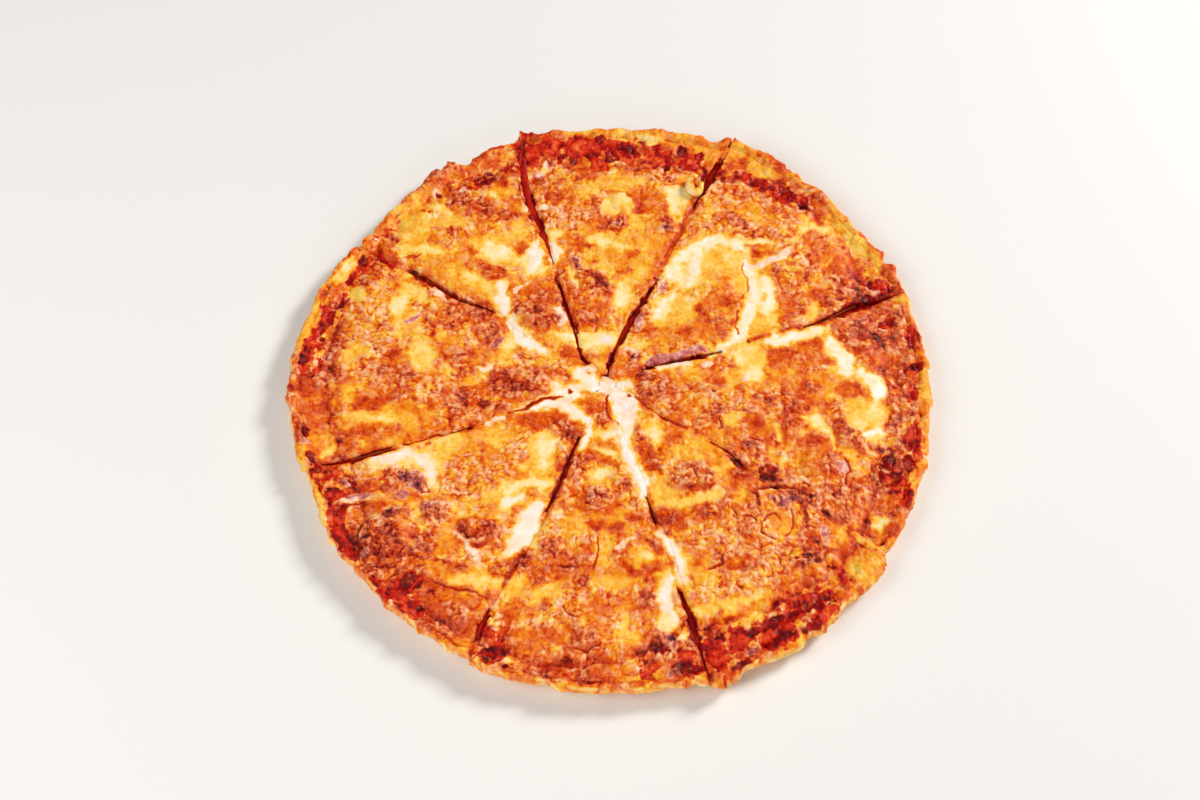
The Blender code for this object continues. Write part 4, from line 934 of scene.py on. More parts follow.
def markAreas(marks, byDirection=False):
    # for each mark, the part of the plan that it can touch and how far inside it each point
    # lies; by direction, a mark's x and y are degrees round the rim and a distance
    ovalMargin, bandMargin = markEdges["margins"]
    areas = []
    for mark in marks:
        if byDirection and isinstance(mark, list):
            mark = [aroundRim(degrees, distance, width, 0)[:3] for degrees, distance, width in mark]
        elif byDirection:
            mark = aroundRim(*mark)
        if isinstance(mark, list):
            xs, ys = [point[0] for point in mark], [point[1] for point in mark]
            patch = planWindow(min(xs), max(xs), min(ys), max(ys), bandMargin)
            areas.append((patch, bandReach(patch, mark)))
        else:
            half = max(mark[2], mark[3]) / 2
            patch = planWindow(mark[0] - half, mark[0] + half, mark[1] - half, mark[1] + half, ovalMargin)
            areas.append((patch, ovalReach(patch, mark)))
    return areas


for kind in finishes:
    placed = [aroundRim(*mark) for mark in rimOvals.get(kind, [])]
    areas = markAreas(ovals.get(kind, []) + placed + bands.get(kind, []))
    if kind in halos:
        halo, wider, softer = halos[kind]
        for patch, reach in areas:
            layOn(halo, patch, reach + wider / 2, softer)
    for patch, reach in areas:
        layOn(kind, patch, reach)
for kind, marks, byDirection in touches:
    for patch, reach in markAreas(marks, byDirection):
        if kind in ("milk", "pearl"):
            wider, softer = markEdges["aroundMelt"]
            layOn("butter", patch, reach + wider, softer)
        layOn(kind, patch, reach, fine=markEdges["pale" if kind in paleKinds else "dark"])

evening, evenLevel = texture["even"]
plan["level"] -= (evening - evening * toLip) * (plan["level"] - evenLevel)

# relief: domed lumps of three sizes and raised strands, strongest where the crumb field is
lumps, lumpNumber, lumpLine = crumbField(texture["lumps"][0], 141)
crumbs, crumbNumber, crumbLine = crumbField(texture["crumbs"][0], 81)
grains, grainNumber, _ = crumbField(texture["grains"][0], 91)
shreds = np.maximum(shredField(9.0, 121), shredField(5.5, 131) - 0.25)
veins = np.clip(1 - 4.5 * np.abs(waveNoise(bentX, bentY, texture["veins"][0], 95)), 0, 1)
veins *= eased(planNoise(18.0, 2, 97) * 2.5 + 0.3)
wrinkles = eased(1 - np.abs(bentNoise(7.5, 3, 161)) / 0.055)
wrinkles *= eased(planNoise(9.0, 2, 163) * 3 + 0.2)
someLines = eased(planNoise(10.0, 2, 165) * 2 + 0.6)
wetness = np.clip(plan["sauce"], 0, 1)
roughness = (plan["crumb"] * 0.88 + 0.12) * (1 + 0.5 * wetness)
relief = plan["rise"] + roughness * (texture["lumps"][1] * lumps * (1 + 0.8 * lumpNumber)
                                     + texture["crumbs"][1] * crumbs * (1 + 1.2 * crumbNumber)
                                     + texture["shreds"][2] * (shreds - 0.4)
                                     + texture["grains"][1] * grains + texture["veins"][1] * veins
                                     + texture["bubble"] * planNoise(2.4, 2, 99))
hollows = (relief - softened(relief, texture["hollow"][0])) / texture["hollow"][1]
# pale tops of some shreds: paler strands of melt, with painted highlights on them
shredTopsAndHighlights = eased((shreds - 0.55 + 0.35 * planNoise(7.0, 2, 117)) * 3.5)
pits = eased((bentNoise(texture["pits"][0], 2, 119, 0.7) - 0.30) * 4.0)
unevenness = plan["crumb"] * 0.85 + 0.15    # smooth melt is the most even
# painted shade in the hollows and painted highlights on the raised tops, beside each lump's, crumb's and
# grain's own differences in bake
plan["level"] += unevenness * (texture["lumps"][2] * lumpNumber + texture["crumbs"][2] * crumbNumber
                               + texture["grains"][2] * grainNumber - texture["shredTopsAndHighlights"] * shredTopsAndHighlights
                               + texture["pits"][1] * pits - 0.05 * veins
                               - texture["paintedCavityShade"] * np.clip(hollows, -1.6, 1.3))
plan["level"] += someLines * (plan["crumb"] * 0.9 + 0.1) * (texture["lines"][0] * lumpLine
                                                            + texture["lines"][1] * crumbLine)
plan["level"] += texture["lines"][2] * wrinkles * np.clip(plan["level"] * 3 - 0.2, 0, 1)
# painted shade: darker along the middle of each cut, in the crease between slices, except where the melt is
# palest
cutWidth, cutShade = texture["cut"]
plan["level"] += cutShade * np.exp(-(cutDistance() / cutWidth) ** 2) * (plan["level"] > 0.2)
# painted highlights: pale pink glints painted on the slopes that face the window lamp, from the slope along
# the light, 1.4 mm across
step = 2
startSlope, sharpness, glintPink, glintPale = texture["paintedGlints"]
slope = np.roll(relief, (step, step), (0, 1)) - np.roll(relief, (-step, -step), (0, 1))
slope = (slope / planGrid["pitch"] + 0.7 * bentNoise(2.0, 2, 171, 0.7)
         + 0.5 * bentNoise(7.0, 2, 103))
paintedGlints = eased((slope - startSlope) * sharpness) * (1 - 0.6 * pits)
blush = eased(0.46 + 0.9 * bentNoise(4.0, 3, 173, 0.7) + 0.35 * lumpNumber
              + 0.3 * crumbNumber - 0.4 * pits)
plan["pink"] += (glintPink * paintedGlints + texture["blush"] * blush) * unevenness
plan["level"] -= glintPale * paintedGlints * unevenness
darkest, heldBack = texture["darkest"]
tooDark = plan["level"] > darkest
plan["level"] = np.where(tooDark, darkest + heldBack * (plan["level"] - darkest), plan["level"])

swells = sum(size * np.sin(alongX * planX + alongY * planY + phase)
             for alongX, alongY, size, phase in longWaves)
for swellX, swellY, radius, height in cheeseSwells:
    away = ((planX - swellX) ** 2 + (planY - swellY) ** 2) / radius ** 2
    swells = swells + height * np.exp(-2 * away)
plan["surface"] = pizza["cheeseTop"] + swells + relief
plan["sauceSurface"] = (pizza["bareSauceTop"] + relief + 0.5 * waveNoise(planX, planY, 5.0, 801)
                        + 0.2 * waveNoise(planX, planY, 2.0, 803))


def addPiece(name, points, faceGroups, material, bake=None):
    # one object from points in mm and arrays of quads and triangles, turned outwards
    corners = np.concatenate([group.ravel() for group in faceGroups]).astype(np.int32)
    sizes = np.concatenate([np.full(len(group), group.shape[1]) for group in faceGroups])
    starts = np.concatenate([[0], np.cumsum(sizes)[:-1]]).astype(np.int32)
    mesh = bpy.data.meshes.new(name)
    mesh.vertices.add(len(points))
    mesh.vertices.foreach_set("co", (np.asarray(points) * mm).astype(np.float32).ravel())
    mesh.loops.add(len(corners))
    mesh.loops.foreach_set("vertex_index", corners)
    mesh.polygons.add(len(sizes))
    mesh.polygons.foreach_set("loop_start", starts)
    mesh.update(calc_edges=True)
    if bake is not None:
        layer = mesh.color_attributes.new(name="bake", type="FLOAT_COLOR", domain="POINT")
        layer.data.foreach_set("color", np.asarray(bake, np.float32).ravel())
    mesh.materials.append(material)
    mesh.shade_smooth()
    piece = bpy.data.objects.new(name, mesh)
    bpy.context.scene.collection.objects.link(piece)
    return piece


def gridFaces(rows, columns):
    # quads of a grid whose points are numbered row by row
    corner = np.arange(rows - 1)[:, None] * columns + np.arange(columns - 1)[None, :]
    return np.stack([corner, corner + 1, corner + columns + 1, corner + columns], -1).reshape(-1, 4)


def tubeFaces(rings, columns):
    # quads round a stack of rings, then a fan from each end ring to a point listed after them
    around = np.arange(columns)
    following = np.roll(around, -1)
    start = np.arange(rings - 1)[:, None] * columns
    here, after = start + around, start + following
    quads = np.stack([here, after, after + columns, here + columns], -1).reshape(-1, 4)
    last, count = (rings - 1) * columns, rings * columns
    return [quads, np.stack([following, around, np.full(columns, count)], -1),
            np.stack([last + around, last + following, np.full(columns, count + 1)], -1)]


def closedShell(top, floor, levels, bulge, seed):
    # a grid of points with a wall of so many levels hung from its edge down to a flat
    # underside, which is a fan from its middle. The wall waves in and out by the bulge.
    rows, columns = top.shape[:2]
    points = top.reshape(-1, 3)
    numbers = np.arange(rows * columns).reshape(rows, columns)
    rim = np.concatenate([numbers[0, :-1], numbers[:-1, -1], numbers[-1, :0:-1], numbers[:0:-1, 0]])
    edge = points[rim]
    middle = edge.mean(0)
    outward = np.stack([np.roll(edge[:, 1], -3) - np.roll(edge[:, 1], 3),
                        np.roll(edge[:, 0], 3) - np.roll(edge[:, 0], -3)], -1)
    outward /= np.maximum(np.linalg.norm(outward, axis=1, keepdims=True), 1e-9)
    side = np.sign(np.sum(outward * (edge[:, :2] - middle[:2])))
    outward *= side
    groups = [gridFaces(rows, columns)]
    allPoints = [points]
    above = rim
    following = np.roll(np.arange(len(rim)), -1)
    # under an overhanging rim the wall runs in to the foot
    foot = np.hypot(*top[-1, rim % columns, :2].T) / np.maximum(np.hypot(edge[:, 0], edge[:, 1]), 0.1)
    pull = np.minimum(foot, 1)[:, None] - 1
    for level in range(1, levels + 1):
        part = level / levels
        wall = edge.copy()
        wall[:, :2] *= 1 + pull * part
        wall[:, 2] = edge[:, 2] + (floor - edge[:, 2]) * part
        wave = waveNoise(edge[:, 0] + 3 * edge[:, 1], wall[:, 2] * 2 + edge[:, 1], 2.6, seed)
        wall[:, :2] += outward * (bulge * (wave - 0.35) * math.sin(math.pi * part))[:, None]
        below = len(points) + (level - 1) * len(rim) + np.arange(len(rim))
        groups.append(np.stack([above[following], above, below, below[following]], -1))
        allPoints.append(wall)
        above = below
    centre = len(points) + levels * len(rim)
    allPoints.append(np.array([[middle[0], middle[1], floor]]))
    groups.append(np.stack([above[following], above, np.full(len(rim), centre)], -1))
    points = np.concatenate(allPoints)
    return points, outwards(points, groups)


def outwards(points, groups):
    # turns every face over if the volume they enclose comes out negative
    volume = 0.0
    for group in groups:
        for k in range(1, group.shape[1] - 1):
            a, b, c = points[group[:, 0]], points[group[:, k]], points[group[:, k + 1]]
            volume += np.sum(a * np.cross(b, c))
    return groups if volume > 0 else [group[:, ::-1] for group in groups]


def bakeAt(points):
    # the plan's level, crumb, pink and sauce at points, as one four-part colour
    fields = ("level", "crumb", "pink", "sauce")
    return np.stack([sampled(plan[field], points[:, 0], points[:, 1]) for field in fields], -1)


def plainBake(points, look, size, seed, octaves=1, sauce=0):
    # a bake away from the plan: the look's level mottled by noise, its crumb and its pink
    level, vary = look["bake"][:2]
    bake = np.zeros((len(points), 4))
    bake[:, 0] = level + vary * noiseOn(points, size, seed, octaves)
    bake[:, 1:] = look["crumb"], look["pink"], sauce
    return bake


def unitGrid(shape):
    # the part of the way out and the share of the way across, from 0 to 1
    return np.meshgrid(np.linspace(0, 1, shape["rows"]), np.linspace(0, 1, shape["columns"]), indexing="ij")


def spot(radius, angle):
    # x and y from the distance to the middle and the direction
    return radius * np.cos(angle), radius * np.sin(angle)


def polar(radius, angle, height):
    # the same with the height, as one array of points
    return np.stack([*spot(radius, angle), height], -1)


def placeOnCuts(piece, radius, share):
    # the grid's direction, with the slice's sides waving by a third of a millimetre
    angle = across(piece, radius, share)
    x, y = spot(radius, angle)
    wave = 0.35 * waveNoise(x, y, 4.0, 301) * ((1 - share) ** 12 - share ** 12)
    return angle + wave / np.maximum(radius, 6.0)


class Flow:
    # a value on its way through a material's nodes; arithmetic on it adds Math nodes
    def __init__(self, tree, socket):
        self.tree, self.socket = tree, socket

    def math(self, operation, first, second):
        return addNode(self.tree, "ShaderNodeMath", {"operation": operation}, {0: first, 1: second})

    def __add__(self, other):
        return self.math("ADD", self, other)

    def __sub__(self, other):
        return self.math("SUBTRACT", self, other)

    def __rsub__(self, other):
        return self.math("SUBTRACT", other, self)

    def __mul__(self, other):
        return self.math("MULTIPLY", self, other)

    __radd__ = __add__
    __rmul__ = __mul__


def addNode(tree, kind, settings, values, output=0):
    # any node: its settings come first, then its sockets by name or number
    node = tree.nodes.new(kind)
    for name, setting in settings.items():
        if name == "stops":
            ramp = node.color_ramp
            while len(ramp.elements) < len(setting):
                ramp.elements.new(0.5)
            for element, (position, color) in zip(ramp.elements, setting):
                element.position = position
                element.color = (*linear(color), 1.0)
        else:
            setattr(node, name, setting)
    for name, value in values.items():
        if isinstance(value, Flow):
            tree.links.new(value.socket, node.inputs[name])
        else:
            node.inputs[name].default_value = value
    return Flow(tree, node.outputs[output])


def linear(color):
    # a colour from 0 to 255 as the eye sees it, turned into light
    parts = np.array(color, float) / 255
    return tuple(np.where(parts <= 0.04045, parts / 12.92, ((parts + 0.055) / 1.055) ** 2.4))


def smooth(tree, value, low, high):
    # 0 below low, 1 above high, eased between them
    return addNode(tree, "ShaderNodeMapRange", {"interpolation_type": "SMOOTHSTEP"},
                   {"Value": value, "From Min": low, "From Max": high})


def mixed(tree, factor, first, second):
    # two colours through a Mix node, whose colour sockets are numbers 6, 7 and out 2
    return addNode(tree, "ShaderNodeMix", {"data_type": "RGBA"}, {0: factor, 6: first, 7: second}, 2)


def noiseAt(tree, place, scale, detail, rough):
    # fine noise between -0.5 and 0.5
    values = {"Vector": place, "Scale": scale, "Detail": detail, "Roughness": rough}
    return addNode(tree, "ShaderNodeTexNoise", {}, values) - 0.5


ramps = {
    "melted": [(0.00, (255, 250, 240)), (0.12, (255, 238, 202)), (0.24, (253, 220, 138)),
               (0.34, (251, 200, 74)), (0.44, (246, 166, 40)), (0.54, (237, 127, 23)),
               (0.64, (223, 86, 12)), (0.74, (195, 49, 7)), (0.84, (146, 25, 5)),
               (0.92, (96, 12, 5)), (1.00, (42, 4, 5))],
    "crumbly": [(0.00, (255, 242, 234)), (0.20, (254, 222, 192)), (0.40, (251, 198, 150)),
                (0.54, (244, 168, 118)), (0.66, (231, 132, 84)), (0.78, (204, 89, 52)),
                (0.90, (148, 47, 30)), (1.00, (70, 16, 17))],
    "lilac": [(0.00, (255, 246, 246)), (0.20, (250, 222, 212)), (0.45, (224, 132, 120)),
              (0.70, (166, 66, 66)), (0.88, (88, 28, 38)), (1.00, (40, 10, 20))],
    "sauce": [(0.00, (246, 140, 76)), (0.30, (230, 76, 28)), (0.50, (208, 38, 12)),
              (0.68, (166, 12, 6)), (0.84, (106, 3, 7)), (1.00, (40, 0, 9))],
}


foods = {
    "cheese": {"name": "meltedCheese", "speckle": 1.0, "roughness": 0.20, "bump": 0.8, "shine": 0.16},
    "pepperoni": {"name": "brownedSausage", "speckle": 1.1, "roughness": 0.20, "bump": 0.9, "shine": 0.16},
    "crust": {"name": "bakedDough", "speckle": 0.9, "roughness": 0.45, "bump": 0.8, "shine": 0.16},
    "sauce": {"name": "tomatoSauce", "speckle": 1.2, "roughness": 0.25, "bump": 0.8, "shine": 0.22},
    "ham": {"name": "cookedHam", "speckle": 0.5, "roughness": 0.38, "bump": 0.4, "shine": 0.45},
    "pepper": {"name": "softPepper", "speckle": 0.4, "roughness": 0.30, "bump": 0.3, "shine": 0.50},
}
grain = {
    "fine": (850.0, 3.0, 0.6),     # scale per metre, detail and roughness of the noise
    "speck": (1900.0, 2.0, 0.5),
    "levelBy": (0.46, 0.22),       # how far fine grain and specks shift the bake
    "bumpDepth": 0.0007,
    "oilTint": (1.0, 0.84, 0.76, 1.0),
}


def foodMaterial(settings):
    # bake level through a ramp, broken up by fine noise, with sauce over it and, where the pink field is
    # high, the crumbly ramp for the peach blush and the painted highlights
    material = bpy.data.materials.new(settings["name"])
    material.use_nodes = True
    tree = material.node_tree
    shader = tree.nodes["Principled BSDF"]
    place = addNode(tree, "ShaderNodeTexCoord", {}, {}, "Object")
    bake = addNode(tree, "ShaderNodeAttribute", {"attribute_name": "bake"}, {}, "Color")
    level, crumb, pink = (addNode(tree, "ShaderNodeSeparateColor", {}, {"Color": bake}, part)
                          for part in ("Red", "Green", "Blue"))
    sauce = addNode(tree, "ShaderNodeAttribute", {"attribute_name": "bake"}, {}, "Alpha")
    fine = noiseAt(tree, place, *grain["fine"])
    speck = noiseAt(tree, place, *grain["speck"])
    fineBy, speckBy = grain["levelBy"]
    level = level + (fine * fineBy + speck * speckBy) * (crumb * 0.8 + 0.15) * settings["speckle"]
    melted, crumbly, lilac, red = (
        addNode(tree, "ShaderNodeValToRGB", {"stops": ramps[ramp]}, {0: level}, "Color")
        for ramp in ("melted", "crumbly", "lilac", "sauce"))
    peachAndHighlights = smooth(tree, pink + fine * 0.8, 0.05, 0.95)
    color = mixed(tree, peachAndHighlights, melted, crumbly)
    color = mixed(tree, smooth(tree, pink + fine * 0.6, 1.25, 1.85), color, lilac)
    color = mixed(tree, smooth(tree, sauce + fine * 0.6, 0.30, 0.70), color, red)
    tree.links.new(color.socket, shader.inputs["Base Color"])
    rough = settings["roughness"] + crumb * 0.10 + (fine + speck) * 0.25 - sauce * 0.08
    tree.links.new(rough.socket, shader.inputs["Roughness"])
    height = fine * (crumb * 0.9 + 0.1) + speck * 0.3
    bump = addNode(tree, "ShaderNodeBump", {}, {"Height": height, "Strength": settings["bump"],
                                                "Distance": grain["bumpDepth"]}, "Normal")
    tree.links.new(bump.socket, shader.inputs["Normal"])
    shader.inputs["Specular IOR Level"].default_value = settings["shine"]
    shader.inputs["Specular Tint"].default_value = grain["oilTint"]
    return material


print("mixing the materials")
materials = {slot: foodMaterial(settings) for slot, settings in foods.items()}


def finishPiece(piece, slot, *nodes):
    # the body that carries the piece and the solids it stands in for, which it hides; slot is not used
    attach(piece, "root")
    if nodes:
        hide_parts(*nodes)


# the layers of a slice
cheeseShape = {
    "rows": 260, "columns": 276, "bottom": 7.12, "tipGap": 0.2,
    "edgeDrop": 1.0, "edgeWidth": 2.0,          # how far and how wide it droops at the cuts
    "rimWidth": 10.0, "underSauce": 0.12,       # where it thins out, down to just under the sauce
    "lobes": (9.0, 2.0), "fringe": (3.5, 1.0),  # size and height of the outer edge's waves
    "thinEdge": (7.0, 0.16),                    # width of the thin edge and how much browner it is
    "wall": {"levels": 4, "bulge": 0.35}, "wallBake": (0.12, 0.4, 0.85),
}


def cheeseReach(piece, share):
    # the melt's outer edge: the slice's reach and spill, waving in lobes and a finer fringe
    reach = threeSizes(piece["cheese"], share) + threeSizes(piece["spill"], share)
    angle = across(piece, reach, share)
    x, y = spot(reach, angle)
    for size, height in (cheeseShape["lobes"], cheeseShape["fringe"]):
        reach = reach + height * waveNoise(x, y, size, 401)
    return reach


def makeCheese(number, piece, shape=cheeseShape):
    # a polar grid: radius runs to the wavy edge, and the height is the plan's surface less a
    # square-law droop at the cuts and the rim
    tip = tipRadius(piece) + shape["tipGap"]
    part, share = unitGrid(shape)
    reach = cheeseReach(piece, share)
    radius = tip + (reach - tip) * part
    angle = placeOnCuts(piece, radius, share)
    x, y = spot(radius, angle)
    width = sliceWidth(piece, radius)
    toSide = np.minimum(share, 1 - share) * width
    toRim = (1 - part) * (reach - tip)
    height = sampled(plan["surface"], x, y)
    height -= shape["edgeDrop"] * np.clip(1 - toSide / shape["edgeWidth"], 0, 1) ** 2
    thinning = eased(toRim / shape["rimWidth"])
    sauceHeight = sampled(plan["sauceSurface"], x, y) - shape["underSauce"]
    height = height * thinning + sauceHeight * (1 - thinning)
    top = np.stack([x, y, height], -1)
    points, groups = closedShell(top, shape["bottom"], seed=500 + number, **shape["wall"])
    bake = bakeAt(points)
    count = x.size
    thinWidth, thinBake = shape["thinEdge"]
    thin = eased(1 - toRim.ravel() / thinWidth)
    bake[:count, 0] += thinBake * thin * (bake[:count, 3] < 0.5)
    darker, palest, darkest = shape["wallBake"]
    bake[count:, 0] = np.clip(bake[count:, 0] + darker, palest, darkest)
    return addPiece(f"meltedCheese_{number}", points, groups, materials["cheese"], bake)


crustShape = {
    "columns": 300, "inside": (5, 0.98), "rimRows": 46,    # flat rows inside, up to which part
    # from the inner foot over the crest to the outer foot: lip widths in from the edge,
    # part of the flare out of it, and part of the rim's height
    "profile": [(1.62, 0.0, 0.442), (1.35, 0.0, 0.60), (1.12, 0.0, 0.83), (0.85, 0.0, 0.96), (0.58, 0.0, 1.0),
                (0.30, 0.0, 0.98), (0.10, 0.0, 0.88), (0.0, 0.0, 0.62), (0.0, 0.25, 0.26), (0.0, 0.9, 0.02)],
    "jag": (7.0, 0.6),           # size and height of the edge's small crags
    "jagPatches": (30.0, 0.35, 1.3),    # size of rough stretches, and how much crag outside and in them
    "lipWave": (13.0, 0.5),
    "bubbles": (7.0, 0.50), "flakes": (2.2, 0.15),
    "swells": (4.0, 0.40, 1.9, 0.25),   # size and height of the outer side's coarse and fine swells
    "wall": {"levels": 4, "bulge": 0.5},
    "toast": (8.0, 0.41, 0.26),  # size of toasted areas, the outer side's bake and how much it varies
    "edgeBake": 0.85, "outerPink": 0.40,
    "wallBake": (0.44, 0.16), "wallPink": 0.35,
}


def withInside(radius, height, tip, level, inside):
    # the rows with flat ones before them, from the tip to that part of the way to the first row
    rows, part = inside
    inner = tip + (radius[:1] - tip) * np.linspace(0, part, rows)[:, None]
    return np.concatenate([inner, radius]), np.concatenate([inner * 0 + level, height])


def makeCrust(number, piece, shape=crustShape):
    # the rim's profile is carried round the slice; inside it the base runs flat to the tip
    tip = tipRadius(piece)
    profile = np.array(shape["profile"])
    along = np.linspace(0, len(profile) - 1, shape["rimRows"])
    lipIn, flareOut, part = (np.interp(along, np.arange(len(profile)), profile[:, k]) for k in range(3))
    share = np.linspace(0, 1, shape["columns"])[None, :]
    rim = smoothRim(piece, share)
    angleAtRim = across(piece, rim, share)
    aroundEdge, still = angleAtRim * pizza["radius"], angleAtRim * 0
    patchSize, leastJag, addedJag = shape["jagPatches"]
    jagged = leastJag + addedJag * eased(roughNoise(aroundEdge, still, patchSize, 2, 609) * 2 + 0.3)
    jagSize, jagHeight = shape["jag"]
    crag = rimCrags(angleAtRim) + jagHeight * jagged * roughNoise(aroundEdge, still, jagSize, 4, 605, 0.7)
    # the crest and the outer side follow the crags, the inner foot doesn't
    follow = np.where(flareOut > 0, 1 - 0.7 * flareOut, np.clip(1 - lipIn, 0, 1) ** 0.7)[:, None]
    waveSize, waveHeight = shape["lipWave"]
    lipWave = 1 + waveHeight * roughNoise(aroundEdge, still, waveSize, 3, 607, 0.65)
    lip = threeSizes(piece["lip"], share) * lipWave
    radius = rim - lip * lipIn[:, None] - pizza["rimFlare"] * flareOut[:, None]
    radius = radius + crag * follow
    height = pizza["rimHeight"] * part[:, None] * (1 + 0.03 * crag)
    radius, height = withInside(radius, height, tip, pizza["baseThickness"], shape["inside"])
    angle = across(piece, radius, share)
    x, y = spot(radius, angle)
    rising = np.clip((height - pizza["baseThickness"]) / 4.0, 0, 1)
    bubbleSize, bubbleHeight = shape["bubbles"]
    flakeSize, flakeHeight = shape["flakes"]
    bubbles = roughNoise(x, y, bubbleSize, 3, 601, 0.6)
    flakes = 1 - 2 * np.abs(waveNoise(x, y + height, flakeSize, 611))
    height = height + rising * (bubbleHeight * bubbles + flakeHeight * flakes)
    coarse, coarseBy, fine, fineBy = shape["swells"]
    swell = (coarseBy * waveNoise(x + height, y - height, coarse, 617)
             + fineBy * waveNoise(x - height, y, fine, 619))
    swell = swell * np.clip(height / 4, 0, 1)
    outer = np.concatenate([np.zeros(shape["inside"][0]), np.clip(along / along[-1] * 2 - 0.6, 0, 1)])
    radius = radius + swell * outer[:, None]
    top = polar(radius, angle, np.maximum(height, 0.15))
    points, groups = closedShell(top, 0.0, seed=700 + number, **shape["wall"])
    count = x.size
    bake = bakeAt(points)
    toastSize, outerBake, outerVary = shape["toast"]
    toast = roughNoise(points[:, 0] + 1.5 * points[:, 2], points[:, 1] - 1.5 * points[:, 2],
                       toastSize, 4, 631, 0.7)
    # the outer side and, in stretches, the very edge show plain dough instead of the plan
    outside = np.zeros(len(points))
    outside[:count] = np.clip(1.25 - top[..., 2].ravel() / 8.0, 0, 1) * outer.repeat(shape["columns"])
    toEdge = (rim + crag - radius).ravel()
    edged = eased(1.5 - toEdge / 1.3) * eased(roughNoise(x, y, 9.0, 2, 641).ravel() * 2.5 + 0.7)
    outside[:count] = np.maximum(outside[:count], shape["edgeBake"] * edged)
    bake[:, 0] += outside * (outerBake + outerVary * toast - bake[:, 0])
    bake[:, 1] = 0.55 * bake[:, 1] + 0.2
    bake[:, 2] += outside * (shape["outerPink"] - bake[:, 2])
    bake[:, 3] *= 1 - eased(outside * 2)
    wallBake, wallVary = shape["wallBake"]
    bake[count:] = 0
    bake[count:, 0] = wallBake + wallVary * toast[count:]
    bake[count:, 2] = shape["wallPink"]
    return addPiece(f"bakedCrust_{number}", points, groups, materials["crust"], bake)


sauceShape = {
    "columns": 240, "inside": (5, 0.97), "rows": 40, "floor": 4.55, "tipGap": 0.6,
    "under": 4.5, "toLip": 0.80,     # how far it starts under the cheese, and where on the lip it ends
    "wellUp": 3.0, "crest": 0.9, "fall": 1.2,
    "wall": {"levels": 3, "bulge": 0.2}, "wallBake": (0.60, 0.2),
}


def makeSauce(number, piece, shape=sauceShape):
    # flat and hidden under the ham; past the cheese's edge it wells up in lumps to the lip
    tip = tipRadius(piece) + shape["tipGap"]
    share = np.linspace(0, 1, shape["columns"])[None, :]
    start = cheeseReach(piece, share) - shape["under"]
    end = smoothRim(piece, share) - threeSizes(piece["lip"], share) * shape["toLip"]
    part = np.linspace(0, 1, shape["rows"])[:, None]
    radius = start + (end - start) * part
    welling = eased(part * (end - start) / shape["wellUp"])
    height = pizza["sauceTop"] + (pizza["bareSauceTop"] - pizza["sauceTop"]) * welling
    height = (height + shape["crest"] * eased((part - 0.4) * 2)
              - shape["fall"] * eased((part - 0.88) * 8))
    radius, height = withInside(radius, height, tip, pizza["sauceTop"], shape["inside"])
    angle = across(piece, radius, share)
    x, y = spot(radius, angle)
    bare = np.clip((height - pizza["sauceTop"]) / 2.0, 0, 1)
    height = height + bare * (sampled(plan["sauceSurface"], x, y) - pizza["bareSauceTop"])
    top = np.stack([x, y, height], -1)
    points, groups = closedShell(top, shape["floor"], seed=820 + number, **shape["wall"])
    count = x.size
    bake = bakeAt(points)
    wallBake, wallVary = shape["wallBake"]
    bake[count:, 0] = wallBake + wallVary * noiseOn(points[count:], 9.0, 831, 3, 0.65)
    bake[count:, 2] = 0
    bake[count:, 3] = 1
    return addPiece(f"tomatoSauce_{number}", points, groups, materials["sauce"], bake)


hamShape = {"rows": 60, "columns": 40, "floor": 5.65, "tipGap": 0.1, "under": 1.5, "out": 0.25,
            "wall": {"levels": 3, "bulge": 0.3}, "bake": (0.70, 0.08), "crumb": 0.4, "pink": 0.9}


def makeHam(number, piece, shape=hamShape):
    # a flat layer whose edges stand out of the cuts a little
    tip = tipRadius(piece) + shape["tipGap"]
    part, share = unitGrid(shape)
    reach = threeSizes(piece["cheese"], share) - shape["under"]
    radius = tip + (reach - tip) * part
    width = sliceWidth(piece, radius)
    share = share + (share - 0.5) * 2 * shape["out"] / np.maximum(width, 4.0)
    angle = across(piece, radius, share)
    top = polar(radius, angle, radius * 0 + pizza["hamTop"])
    points, groups = closedShell(top, shape["floor"], seed=900 + number, **shape["wall"])
    bake = plainBake(points, shape, 5.0, 911, octaves=2)
    return addPiece(f"hamLayer_{number}", points, groups, materials["ham"], bake)


for number, piece in enumerate(slices, start=1):
    finishPiece(makeCheese(number, piece), "cheese", f"cheese_{number}")
    finishPiece(makeCrust(number, piece), "crust", f"crust_{number}")
    finishPiece(makeSauce(number, piece), "sauce", f"sauce_{number}")
    finishPiece(makeHam(number, piece), "ham", f"ham_{number}")
print("laid eight slices of crust, sauce, ham and cheese")


# browned rounds of sausage under a film of cheese:
# x, y, length, width, turn in degrees
rounds = [
    (-98, -77, 28, 23, 60), (-57, -74, 19, 15, -20), (-77, -65, 14, 12, 30),
    (41, -47, 23, 14, 10), (-5, -60, 15, 12, 0), (111, -26, 19, 13, -50),
    (9, 103, 15, 13, 0), (-35, 37, 22, 14, -15), (-8, 57, 17, 10, -35),
    (-34, 1, 30, 14, 8), (23, -2, 17, 11, -20), (97, -42, 20, 17, 0),
    (87, -86, 16, 12, 20), (129, -43, 17, 13, 35), (-8, -123, 16, 14, 0),
]
roundShape = {"rings": 40, "around": 120, "grow": 1.06, "rise": 1.1, "sink": 0.35, "thickness": 1.4,
              "wobble": (1.3, 0.07)}


def closedRound(top, floor):
    # rings round a middle, closed by a wall down to a flat floor and by a fan at each end
    rows, columns = top.shape[:2]
    bottom = top[-1].copy()
    bottom[:, 2] = floor
    middle = top[0].mean(0)
    points = np.concatenate([top.reshape(-1, 3), bottom, [middle], [[middle[0], middle[1], floor]]])
    return points, outwards(points, tubeFaces(rows + 1, columns))


